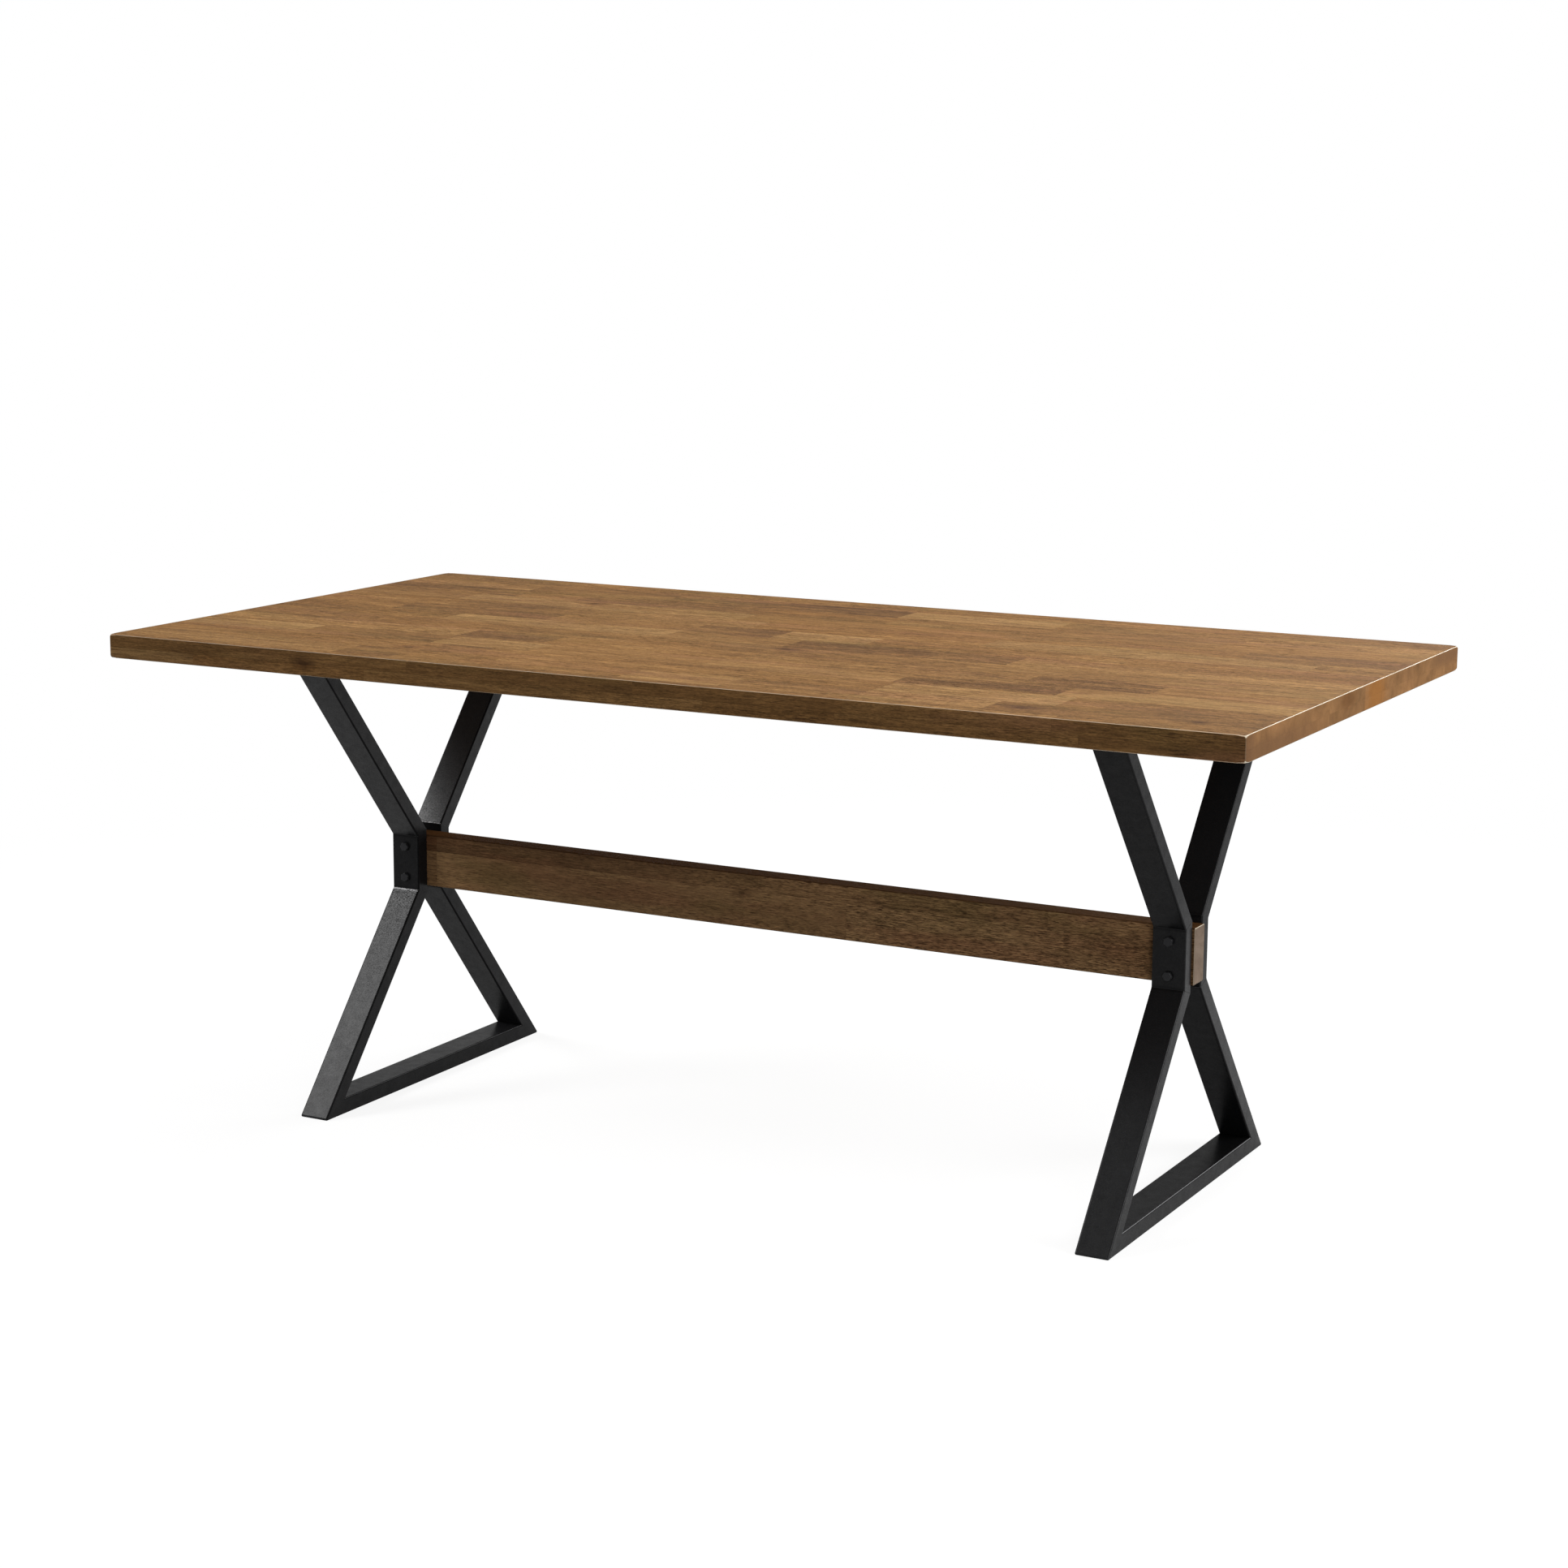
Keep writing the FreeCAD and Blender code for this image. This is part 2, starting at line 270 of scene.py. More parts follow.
def rounded_box(points, half, corner, edge, blend=0.010):
    """Rounds a sharp box's outer points. Within `blend` of a corner the rounding of the edges grows from
    `edge` to `corner`, so that the corner is a ball. In plan, the part (qx, qy) of a point beyond the inner
    rectangle is scaled by max(qx, qy) / |q|, which bends the square corner into a quarter circle of radius
    `corner`. Then, with a the depth into the rim of width `edge` and b the height above the flat of the side,
    (a, b) is scaled by max(a, b) / |(a, b)|, which bends the edge to a quarter circle of radius `edge`."""
    plan, height = points[:, :2], points[:, 2]
    ease = np.clip(1 - ((half[:2] - np.abs(plan)).max(1) - corner) / blend, 0, 1)
    edge = edge + (corner - edge) * ease * ease * (3 - 2 * ease)
    beyond = np.maximum(np.abs(plan) - (half[:2] - corner), 0)
    reach, straight = beyond.max(1), np.maximum(np.hypot(*beyond.T), 1e-12)
    bend = np.where(reach > 0, reach / straight, 1)
    outward = beyond / straight[:, None]
    a = np.maximum(reach - (corner - edge), 0)
    b = np.maximum(np.abs(height) - (half[2] - edge), 0)
    curl = np.where(np.maximum(a, b) > 0, np.maximum(a, b) / np.maximum(np.hypot(a, b), 1e-12), 1)
    flat = np.minimum(np.abs(plan), half[:2] - corner)
    plan_size = flat + beyond * bend[:, None] - outward * (a * (1 - curl))[:, None]
    height_size = np.minimum(np.abs(height), half[2] - edge) + b * curl
    return np.column_stack((np.sign(plan) * plan_size, np.sign(height) * height_size))


def rounded_loop(width, depth, radius, steps=5):
    """A closed section, width by depth, with arcs of `radius` at its corners and one more point on the flat
    beside each arc. Gives the points, the outward directions, and how far round its arc each point is."""
    angle = np.linspace(0, math.pi / 2, steps + 1)
    arc = np.column_stack((np.cos(angle), np.sin(angle)))
    local = np.concatenate(([(radius, -LEAD)], arc * radius, [(-LEAD, radius)]))
    facing = np.concatenate((arc[:1], arc, arc[-1:]))
    arris = np.concatenate(([0.0], np.sin(2 * angle), [0.0]))
    loops, directions = [], []
    for quarter, (sx, sy) in enumerate(((1, 1), (-1, 1), (-1, -1), (1, -1))):
        turn = np.linalg.matrix_power(np.array(((0, -1), (1, 0))), quarter)
        centre = (sx * (width / 2 - radius), sy * (depth / 2 - radius))
        loops.append(local @ turn.T + centre)
        directions.append(facing @ turn.T)
    return np.concatenate(loops), np.concatenate(directions), np.tile(arris, 4)


def rings(stations, axis, up, foot, turn, ripple=None):
    """Rings of points round an axis. Each station is (distance along the axis, round radius, width across
    flats), and at angle t the ring's size is the smaller of the round radius and the hexagon's
    flats / 2 / cos(t folded into -30..30 degrees).
    `ripple` is (from, to, pitch, depth): the size loses depth * (0.5 + 0.5 cos(2 pi s / pitch - t)) there."""
    along, radius, flats = np.array(stations, float).T
    t = np.arange(AROUND) * 2 * math.pi / AROUND
    fold = (t - turn + math.pi / 6) % (math.pi / 3) - math.pi / 6
    size = np.minimum(radius[:, None], flats[:, None] / 2 / np.cos(fold))
    if ripple:
        start, end, pitch, depth = ripple
        inside = ((along >= start) & (along <= end))[:, None]
        size = size - inside * depth * (0.5 + 0.5 * np.cos(2 * math.pi * along[:, None] / pitch - t))
    axis, up = np.array(axis, float), np.array(up, float)
    ring = np.cos(t)[:, None] * up + np.sin(t)[:, None] * np.cross(axis, up)
    return np.array(foot) + along[:, None, None] * axis + size[..., None] * ring


def turned(stations, axis, up, foot, turn, ripple=None):
    """A turned or hexagonal part. The first and last stations have radius 0: there a fan of triangles round
    one pole closes the shell."""
    circles = rings(stations, axis, up, foot, turn, ripple)
    points = np.concatenate((circles[:1, 0], circles[1:-1].reshape(-1, 3), circles[-1:, 0]))
    first, last = np.arange(AROUND) + 1, np.arange(AROUND) + len(points) - 1 - AROUND
    near, far = np.zeros(AROUND, int), np.full(AROUND, len(points) - 1)
    return facing_out(points, np.concatenate((
        np.column_stack((np.roll(first, -1), first, near, near)),
        grid_faces(len(circles) - 2, AROUND) + 1,
        np.column_stack((last, np.roll(last, -1), far, far)),
    )))


def ringed(section, axis, up, foot, turn=0.0, flats=ROUND):
    """A washer or nut: a closed section of (distance along the axis, radius) carried round the axis."""
    circles = rings([(*station, flats) for station in section], axis, up, foot, turn)
    return facing_out(circles.reshape(-1, 3), grid_faces(len(circles), AROUND, wrap_rows=True))


def swept_bead(path, across, outward, radius, ripple, steps=10):
    """A weld bead: a circle of `radius` carried round a closed path, in the plane of `across` and `outward`
    at each of its points. The radius swells and shrinks by `ripple` along the path."""
    swell = radius * (1 + ripple * np.sin(np.arange(len(path)) * 2.4)[:, None])[..., None]
    angle = np.arange(steps) * 2 * math.pi / steps
    cosine, sine = np.cos(angle)[None, :, None], np.sin(angle)[None, :, None]
    points = path[:, None] + swell * cosine * across[:, None] + swell * sine * outward[:, None]
    return facing_out(points.reshape(-1, 3), grid_faces(len(path), steps, wrap_rows=True))


def add_piece(name, shell, slot, nodes, fields=()):
    """Puts a shell into the scene as a piece that rides on the frame and stands for its CAD nodes.
    Each field is (name, type, domain, values), kept on the mesh for the finish to read."""
    points, faces = shell
    mesh = bpy.data.meshes.new(name)
    collapsed = faces[:, 2] == faces[:, 3]
    mesh.from_pydata(points.tolist(), [], [f[:3] if c else f for f, c in zip(faces.tolist(), collapsed)])
    for label, kind, domain, values in fields:
        data = mesh.attributes.new(label, kind, domain).data
        part = "vector" if kind == "FLOAT_VECTOR" else "value"
        data.foreach_set(part, np.asarray(values, np.float32).ravel())
    mesh.shade_smooth()
    mesh.set_sharp_from_angle(angle=SHARP_ANGLE)
    mesh.materials.append(finish_for(slot))
    mesh.update()
    piece = bpy.data.objects.new(name, mesh)
    bpy.context.scene.collection.objects.link(piece)
    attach(piece, "root")
    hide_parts(*nodes)
    return piece


# ---------------------------------------------------------------- finishes

MEAN_STAIN = 0.52  # where on the stain's ramp a stave of middle tone lies
GLUE_LINE = (0.0005, 0.0001)  # from its first trace to its full darkness, in metres
COAT_GRAIN, BOLT_GRAIN = 560.0, 1400.0  # grains of orange peel in a metre
# The coat's fields, in order: painted shade that darkens and dulls the arrises and the mitres; thin pale lines
# of worn coat with a painted highlight; chipped coat whose bright lip is partly a painted highlight; a coarser
# peel beside the chips; and painted light that makes a face lighter or darker.
COAT_FIELDS = ("arris", "worn", "chip", "coarse", "sheen")


class Value:
    """One number, vector or colour on its way through a finish's nodes, so that its maths reads as Python."""

    def __init__(self, finish, socket):
        self.finish, self.socket = finish, socket

    def math(self, operation, *others):
        return self.finish.node("Math", (self, *others), operation=operation)

    __add__ = __radd__ = functools.partialmethod(math, "ADD")
    __sub__ = functools.partialmethod(math, "SUBTRACT")
    __mul__ = __rmul__ = functools.partialmethod(math, "MULTIPLY")
    __pow__ = functools.partialmethod(math, "POWER")
    __abs__ = functools.partialmethod(math, "ABSOLUTE")
    least = functools.partialmethod(math, "MINIMUM")
    most = functools.partialmethod(math, "MAXIMUM")
    sine = functools.partialmethod(math, "SINE")

    def __rsub__(self, other):
        return self.finish.node("Math", (other, self), operation="SUBTRACT")

    def rise(self, low, high):
        """0 below low, 1 above high, and a smooth step between; with low above high it falls."""
        ends = {"Value": self, "From Min": low, "From Max": high}
        return self.finish.node("MapRange", ends, interpolation_type="SMOOTHSTEP")

    def parts(self):
        """The three numbers of a vector."""
        return self.finish.outputs("SeparateXYZ", (self,))


class Finish:
    """A material, or the light all round, under construction, with one method that makes any node."""

    def __init__(self, name, store="materials"):
        self.made = getattr(bpy.data, store).new(name)
        self.made.use_nodes = True
        self.tree = self.made.node_tree
        self.tree.nodes.clear()

    def outputs(self, kind, sockets=(), **settings):
        """Makes a node. Its sockets are given by name or number, or as a row of their values."""
        made = self.tree.nodes.new("ShaderNode" + kind)
        stops = settings.pop("stops", ())
        for _ in stops[2:]:
            made.color_ramp.elements.new(0.5)
        for stop, (place, tint) in enumerate(stops):
            element = made.color_ramp.elements[stop]
            element.position, element.color = place, (*tint, 1.0)
        for key, value in settings.items():
            setattr(made, key, value)
        for key, value in (sockets if isinstance(sockets, dict) else dict(enumerate(sockets))).items():
            if isinstance(value, Value):
                self.tree.links.new(value.socket, made.inputs[key])
            else:
                made.inputs[key].default_value = value
        return [Value(self, output) for output in made.outputs]

    def node(self, kind, sockets=(), output=0, **settings):
        return self.outputs(kind, sockets, **settings)[output]

    def place(self):
        return self.node("TexCoord", output=3)

    def vector(self, operation, *terms, output=0):
        return self.node("VectorMath", terms, output, operation=operation)

    def field(self, name, output=1):
        return self.node("Attribute", output=output, attribute_name=name)

    def noise(self, point, stretch, detail=2.0, roughness=0.5, distortion=0.0):
        """Cloudy noise, `stretch` cycles a metre along each axis."""
        return self.node("TexNoise", {
            "Vector": self.vector("MULTIPLY", point, stretch), "Scale": 1.0,
            "Detail": detail, "Roughness": roughness, "Distortion": distortion,
        })

    def blot(self, spot, place, size):
        """Distance from a place as a share of `size`, with a wavy outline: 1 at the edge of the blot."""
        away = self.vector("DIVIDE", self.vector("SUBTRACT", spot, place), size)
        return self.vector("LENGTH", away, output=1) * (self.noise(spot, (90, 90, 90)) * 0.9 + 0.55)

    def mixed(self, mask, without, with_it):
        """One colour where the mask is 0 and the other where it is 1."""
        without, with_it = (c if isinstance(c, Value) else (*c, 1.0) for c in (without, with_it))
        return self.node("Mix", {0: mask, 6: without, 7: with_it}, 2, data_type="RGBA")

    def shaded(self, tint, amount):
        """A colour made darker or lighter by a number."""
        return self.node("VectorMath", {0: tint, "Scale": amount}, operation="SCALE")

    def seen(self):
        """1 for the rays that see a surface or the background itself: from the camera, a mirror or glass."""
        rays = {ray.socket.name: ray for ray in self.outputs("LightPath")}
        return rays["Is Camera Ray"].most(rays["Is Glossy Ray"]).most(rays["Is Transmission Ray"])

    def finished(self, height, depth, **sockets):
        """Ends the material: a principled shader with its bump from `height`, `depth` metres high."""
        named = {key.replace("_", " ").title().replace("Ior", "IOR"): value for key, value in sockets.items()}
        named["Normal"] = self.node("Bump", {"Height": height, "Strength": 1.0, "Distance": depth})
        return self.shown(self.node("BsdfPrincipled", named))

    def shown(self, shader, output="OutputMaterial"):
        self.outputs(output, {"Surface": shader})
        return self.made


def stave_wood(name, look, stain, end_grain, leanings, lacquer, rubbed, side_shade,
               texture, pore_size, pore_depth, pore_stain, knots, patches=(), top_shade_tint=None):
    """Satin wood of glued staves, whose colours are settings of `look`. Every stave has its own tone, warmth
    and openness of pores, and its own piece of one long grain that runs along X. `stain` goes from dark to
    pale, and patches of the wood lean to the two `leanings`."""
    f = Finish(name)
    spot = f.place()
    grain = f.vector("ADD", spot, f.field("stave_shift"))
    tone, warmth, openness = f.field("stave_look").parts()
    normal = f.node("NewGeometry", output=1).parts()
    level_x, level_y, level_z = (abs(part) for part in normal)
    end_face, side_face = level_x.rise(0.55, 0.8), level_y.rise(0.55, 0.8)

    # the stain: how it takes on each stave, in clouds, smudges, streaks and the figure of the year rings
    uneven = f.noise(grain, (5, 26, 26), 3, 0.6).rise(0.3, 0.62) * 0.8 + 0.25
    cloud = f.noise(grain, (2.8, 18, 18), 3) - 0.5
    smudge = f.noise(grain, (5.5, 44, 44), 3, 0.6).rise(0.56, 0.8)
    layers = [f.noise(grain, stretch, 4, 0.7, 0.3) - 0.5 for stretch, _, _ in texture]
    streak, fibre, _ = layers
    figure = (f.noise(grain, (0.9, 13, 13), 1.5, distortion=0.4) * 95.0).sine() * 0.05
    level = (tone - 0.5) * uneven + cloud * 0.35 - smudge * 0.1 + figure
    for layer, (_, depth, _) in zip(layers, texture):
        level = level + layer * depth
    level = level * (1.0 - side_face * 0.3) + MEAN_STAIN
    nearest = functools.reduce(Value.least, (f.blot(spot, place, size) for place, size in knots))
    stops = [(place, getattr(look, tint)) for place, tint in zip((0.0, 0.5, 1.0), stain)]
    tint = f.node("ValToRGB", (level - nearest.rise(3.2, 0.9) * 0.3,), stops=stops)
    for leaning, stretch in zip(leanings, ((3.2, 17, 17), (4.1, 14, 14))):
        blush = f.noise(spot, stretch, 3).rise(0.5, 0.68)
        tint = f.mixed(blush * (side_face * 0.15 + 0.25), tint, getattr(look, leaning))
    tint = f.mixed(warmth, tint, look.warm)

    # the light on it, which the fibres break most where the pores are open
    coarse, fine, finest = (layer * depth for layer, (_, _, depth) in zip(layers, texture))
    light = cloud * 0.5 - smudge * 0.15 + coarse + (fine + finest) * (openness + 0.65) + 1.0
    shade, *reach = side_shade
    shadow = side_face * abs(spot.parts()[0]).rise(*reach) * shade
    tint = f.shaded(tint, (1.0 - shadow) * light.most(0.2))
    # painted shade: the stretcher's upper face, shaded by the top, darker and redder
    if top_shade_tint:
        tint = f.mixed(normal[2].rise(0.5, 0.8) * 0.85, tint, getattr(look, top_shade_tint))

    # the end grain, the pores and the knots' hearts
    ring = f.noise(grain, (1, 26, 26), 4, 0.55, 0.6) * 1.3 + f.noise(grain, (3, 3, 3), 0.0) * 0.5 + 0.04
    end_tint = f.shaded(getattr(look, end_grain), ring)
    for place, size, patch in patches:
        end_tint = f.mixed(f.blot(spot, place, size).rise(1.5, 0.3) * 0.8, end_tint, getattr(look, patch))
    tint = f.mixed(end_face * 0.9, tint, end_tint)
    pored = openness * 0.8 + f.noise(grain, (6, 34, 34)).rise(0.35, 0.65) * 0.6
    pore = (f.noise(grain, pore_size, 1.0).rise(0.57, 0.66) * pored).least(1.0) * (1.0 - end_face * 0.75)
    tint = f.mixed((pore * pore_stain).most(nearest.rise(1.0, 0.6) * 0.55), tint, look.pore)

    # the glue lines, and last the arrises: pale ones of thin stain with a painted highlight, the stretcher's
    # dark ones painted shade
    below = f.vector("SUBTRACT", spot, f.field("stave_low"))
    above = f.vector("SUBTRACT", f.field("stave_high"), spot)
    gap_x, gap_y, gap_z = f.vector("MINIMUM", below, above).parts()
    seam = (gap_x.rise(*GLUE_LINE) * 0.4).most(gap_y.least(gap_z).rise(*GLUE_LINE)) * (1.0 - end_face * 0.8)
    tint = f.shaded(tint, 1.0 - seam * 0.35)
    wear_and_light_share, pale = rubbed(f, spot, normal)
    arris = level_x.most(level_y).most(level_z).rise(0.93, 0.78) * wear_and_light_share
    rub = f.noise(spot, (30, 30, 30), 3).rise(0.3, 0.6)
    shine = getattr(look, lacquer)
    return f.finished(
        fibre * 0.25 + streak * 0.2 - pore * 0.8 - seam * 0.6, pore_depth,
        base_color=f.mixed(arris * (rub * 0.25 + 0.75), tint, pale),
        roughness=streak * 0.14 + pore * 0.12 + look.roughness, specular_ior_level=shine,
        coat_weight=arris * (rub * 0.4 + 0.6) * (look.arris_gloss * shine / look.lacquer),
        coat_roughness=0.22,
    )


def top_arris_wear_and_highlight(f, spot, normal):
    """How far the top's arrises are pale and to which tint, by the place and the normal's three parts. The
    pale is partly thin stain where they are rubbed and partly a painted highlight: the level ones most at the
    two ends and, as painted highlight from the light on the right, on the right; the upright ones little."""
    wood = bpy.context.scene.table_wood
    at_end = abs(normal[0]).rise(0.1, 0.4)
    # painted highlight, stronger towards the right, where the light comes from
    highlight_to_right = spot.parts()[0].rise(-0.7, 0.8) * 0.55 + 0.45
    level = abs(normal[2]).rise(0.05, 0.3)
    return (level * at_end.most(highlight_to_right)).most(0.07), f.mixed(at_end, wood.arris, wood.end_arris)


def beam_arris_wear_and_painted_light(f, spot, normal):
    """The same for the stretcher: the arrises at its ends are pale, rubbed and with a painted highlight, the
    front ones less; the rest are painted dark, as painted shade."""
    wood = bpy.context.scene.table_wood
    along = abs(normal[0])
    behind = normal[1].rise(-0.25, 0.0) * 0.45
    # pale at the ends: rubbed, with a painted highlight; elsewhere the pore's dark stain as painted shade
    pale = along.rise(0.05, 0.3) * (behind + along.rise(0.5, 0.62) * along.rise(0.85, 0.75) * 0.55)
    return (pale * 0.9).most(0.55), f.mixed(pale, wood.pore, wood.end_arris)


def powder_coat(name, look, tint, grain):
    """Black powder coat: a fine orange peel with grey specks. Painted shade darkens and dulls it on the
    arrises and in the mitres, and painted light makes some faces of a tube lighter or darker. Thin pale lines
    on some arrises, mostly on the feet, are worn coat with a painted highlight, and a few mitres are chipped,
    their bright lip partly a painted highlight, with a coarser peel beside them."""
    f = Finish(name)
    spot = f.place()
    arris, worn, chip, coarse, sheen = (f.field(label, 2) for label in COAT_FIELDS)
    peel = f.noise(spot, (grain,) * 3, roughness=0.6)
    speck = f.noise(spot, (grain * 1.9,) * 3, 1).rise(0.62, 0.72)
    haze = f.noise(spot, (7, 7, 7), 3)
    mottle = f.noise(spot, (70, 70, 70), 4, 0.7)
    broken = f.noise(spot, (420, 420, 420), 3)
    ragged = ((broken - 0.5) * 7.0 + (mottle - 0.5) * 3.0 + 1.0) * chip
    # thin pale lines of worn coat with a painted highlight, and chips whose bright lip is partly a painted
    # highlight
    rubbed = (worn ** 12.0 * (broken * 0.6 + 0.7)).most(ragged.rise(0.7, 1.1) * 0.85)
    coat = f.mixed((speck * 0.3 + haze * 0.1).least(1.0), tint, look.speck)
    # painted shade on the arrises and in the mitres, and painted light on each face, in the coat's colour and
    # gloss
    shade = (1.0 - arris) * (sheen + 1.0)
    skin = ((peel - 0.5) * (coarse * 2.4 + 1.0) + mottle * 0.9 + 0.55) * shade * look.gloss
    return f.finished(
        peel, 0.00006, base_color=f.mixed(rubbed.least(1.0), f.shaded(coat, shade), look.rubbed),
        roughness=0.7, specular_ior_level=0.0, coat_weight=skin, coat_roughness=look.roughness,
    )


def zinc_plate(name, look):
    """Dull zinc plate, cloudy and faintly scratched."""
    f = Finish(name)
    spot = f.place()
    cloud = f.noise(spot, (260, 260, 260), 3)
    tint = f.shaded(look.zinc, cloud * 0.4 + 0.78)
    scratch = f.noise(spot, (2600, 300, 300))
    return f.finished(scratch, 0.00002, base_color=tint, metallic=1.0, roughness=cloud * 0.25 + 0.26)


# For each wood the settings of its colours. Then its texture: for its streaks, fibres and flecks, how many
# there are in a metre along X, Y and Z, how far they change the stain, and how far the light. Its pores: how
# many in a metre, their depth in metres and how dark they are stained. Its small knots, and the patches in its
# end grain, as (place, size across) in metres. How much darker its sides are, as (share, from, to), where the
# shade grows between two distances from the middle; from -1 to 0 means everywhere.
WOODS = {
    "top_wood": dict(
        stain=("dark", "middle", "pale"), end_grain="end_grain", leanings=("rosy", "olive"),
        lacquer="lacquer", rubbed=top_arris_wear_and_highlight, side_shade=(0.43, -1, 0),
        texture=(((8, 84, 84), 0.35, 1.1), ((36, 320, 900), 0.2, 1.9), ((190, 360, 1000), 0.1, 1.9)),
        pore_size=(60, 420, 900), pore_depth=0.00016, pore_stain=0.65,
        knots=(
            ((0.815, -0.390, 0.760), (0.006, 0.004, 0.02)), ((-0.430, -0.340, 0.760), (0.011, 0.007, 0.02)),
            ((-0.455, 0.220, 0.760), (0.010, 0.008, 0.02)), ((0.060, -0.080, 0.760), (0.010, 0.008, 0.02)),
            ((0.575, -0.395, 0.760), (0.012, 0.006, 0.02)), ((-0.538, -0.450, 0.742), (0.010, 0.02, 0.005)),
        ),
        patches=(
            ((0.9, 0.062, 0.742), (0.1, 0.040, 0.04), "warm"),
            ((0.9, -0.060, 0.750), (0.1, 0.034, 0.012), "end_dark"),
            ((0.9, -0.350, 0.732), (0.1, 0.150, 0.016), "end_shade"),
            ((0.9, -0.450, 0.745), (0.1, 0.030, 0.030), "end_shade"),
            ((0.9, 0.390, 0.752), (0.1, 0.080, 0.014), "end_shade"),
        ),
    ),
    "stretcher_wood": dict(
        stain=("beam_dark", "beam_middle", "beam_pale"), end_grain="beam_end",
        leanings=("beam_rosy", "beam_olive"), lacquer="beam_lacquer", top_shade_tint="beam_top",
        rubbed=beam_arris_wear_and_painted_light, side_shade=(0.5, 0.670, 0.6745),
        texture=(((14, 130, 130), 0.2, 0.3), ((48, 950, 950), 0.2, 2.9), ((140, 1100, 1100), 0.1, 1.8)),
        pore_size=(85, 1000, 1000), pore_depth=0.0003, pore_stain=0.75,
        knots=(
            ((-0.048, -0.019, 0.372), (0.007, 0.02, 0.003)), ((0.134, -0.019, 0.342), (0.0025, 0.02, 0.002)),
        ),
    ),
}


def finish_for(slot):
    """The finish of a material slot, made the first time that it is asked for."""
    name = f"{slot}_finish"
    if name in bpy.data.materials:
        return bpy.data.materials[name]
    steel = bpy.context.scene.table_steel
    if slot in WOODS:
        return stave_wood(name, bpy.context.scene.table_wood, **WOODS[slot])
    if slot == "zinc":
        return zinc_plate(name, steel)
    if slot == "black_bolt":
        return powder_coat(name, steel, steel.bolt, BOLT_GRAIN)
    return powder_coat(name, steel, steel.coat, COAT_GRAIN)


# ---------------------------------------------------------------- staves

# In each row from the front, the staves that stand out, as (from, to, tone, openness of the pores) and some
# with their warmth; the positions are millimetres from the middle of the piece. The rest are drawn at random.
UPPER_STANDOUTS = {
    0: ((-900, -355, 0.46, 0.3), (-355, -130, 0.38, 0.4), (-130, 20, 0.34, 0.3), (20, 341, 0.34, 0.3, 0.05),
        (341, 640, 0.5, 0.5), (640, 900, 0.42, 0.5)),
    1: ((-500, -400, 0.28, 0.3), (340, 530, 0.62, 0.5)),
    2: ((-400, -310, 0.38, 0.3), (340, 605, 0.76, 0.4), (605, 900, 0.4, 0.4)),
    3: ((-900, -675, 0.72, 0.2), (-430, -260, 0.74, 0.2, 0.05), (330, 570, 0.28, 0.9)),
    4: ((-440, -285, 0.26, 0.4), (485, 675, 0.22, 0.9)),
    5: ((-50, 360, 0.42, 0.4),),
    6: ((-570, -170, 0.76, 0.2, 0.05), (40, 275, 0.18, 0.6), (275, 400, 0.34, 0.5)),
    7: ((-710, -420, 0.3, 0.4), (-170, -25, 0.2, 0.5), (-20, 135, 0.72, 0.3), (540, 900, 0.42, 0.4, 0.1)),
    8: ((-655, -400, 0.36, 0.3), (290, 545, 0.62, 0.3), (545, 790, 0.66, 0.3)),
    9: ((-685, -160, 0.64, 0.3), (662, 900, 0.28, 0.4)),
    10: ((-900, -620, 0.26, 0.4), (-505, -185, 0.34, 0.4), (60, 330, 0.4, 0.4)),
    11: ((-380, -180, 0.34, 0.3), (-180, 43, 0.14, 0.4), (45, 310, 0.66, 0.2)),
    12: ((-900, -600, 0.38, 0.3),),
}
LOWER_STANDOUTS = {
    0: ((-900, -740, 0.86, 0.2), (-430, -80, 0.58, 0.3), (-80, 130, 0.52, 0.6), (130, 330, 0.46, 0.6, 0.05),
        (330, 677, 0.44, 0.5), (677, 900, 0.28, 0.4)),
}
BEAM_UPPER = {
    0: ((-679, -607, -0.5, 0.2, 0.08), (-607, -265, 0.14, 0.15), (-265, -20, 0.32, 0.3),
        (-20, 455, 0.52, 0.65), (455, 679, 0.6, 0.85)),
}
BEAM_LOWER = {
    0: ((-679, -607, 0.46, 0.2), (-607, -45, 0.68, 0.2), (-45, 130, 0.56, 0.5), (130, 480, 0.8, 0.95),
        (480, 679, 0.64, 1.1)),
}
FAR = 1.0  # metres, past every piece
CORNER_LEADS = (0.0025, 0.005, 0.0075, 0.010)  # grid lines beside a corner, where the edge's rounding grows
EVEN_STEP = 0.09  # between the even grid lines along a block


def stave_plan(rows, half_length, standouts, limits, draw):
    """For each row, the stave ends from left to right and each stave's (tone, warmth, openness). Gaps between
    the chosen staves are shared out in random staves, on average between the shortest and longest limit."""
    plan = []
    for row in range(rows):
        chosen = sorted(
            (a / 1000, b / 1000, (tone, sum(warmth), openness))
            for a, b, tone, openness, *warmth in standouts.get(row, ())
        )
        ends, looks = [-half_length], []
        for start, stop, look in [*chosen, (half_length, half_length, None)]:
            gap = start - ends[-1]
            if gap > 0.02:
                count = max(1, round(gap / draw.uniform(*limits)))
                parts = draw.uniform(0.7, 1.3, count)
                ends.extend(ends[-1] + gap * np.cumsum(parts) / parts.sum())
                tones, warmths = draw.normal(0.5, 0.07, count), draw.uniform(0, 0.12, count)
                looks.extend(zip(tones, warmths, draw.uniform(0.1, 0.5, count)))
            if look is not None:
                ends[-1] = start
                ends.append(stop)
                looks.append(look)
        ends[-1] = half_length
        plan.append((np.array(ends), np.array(looks)))
    return plan


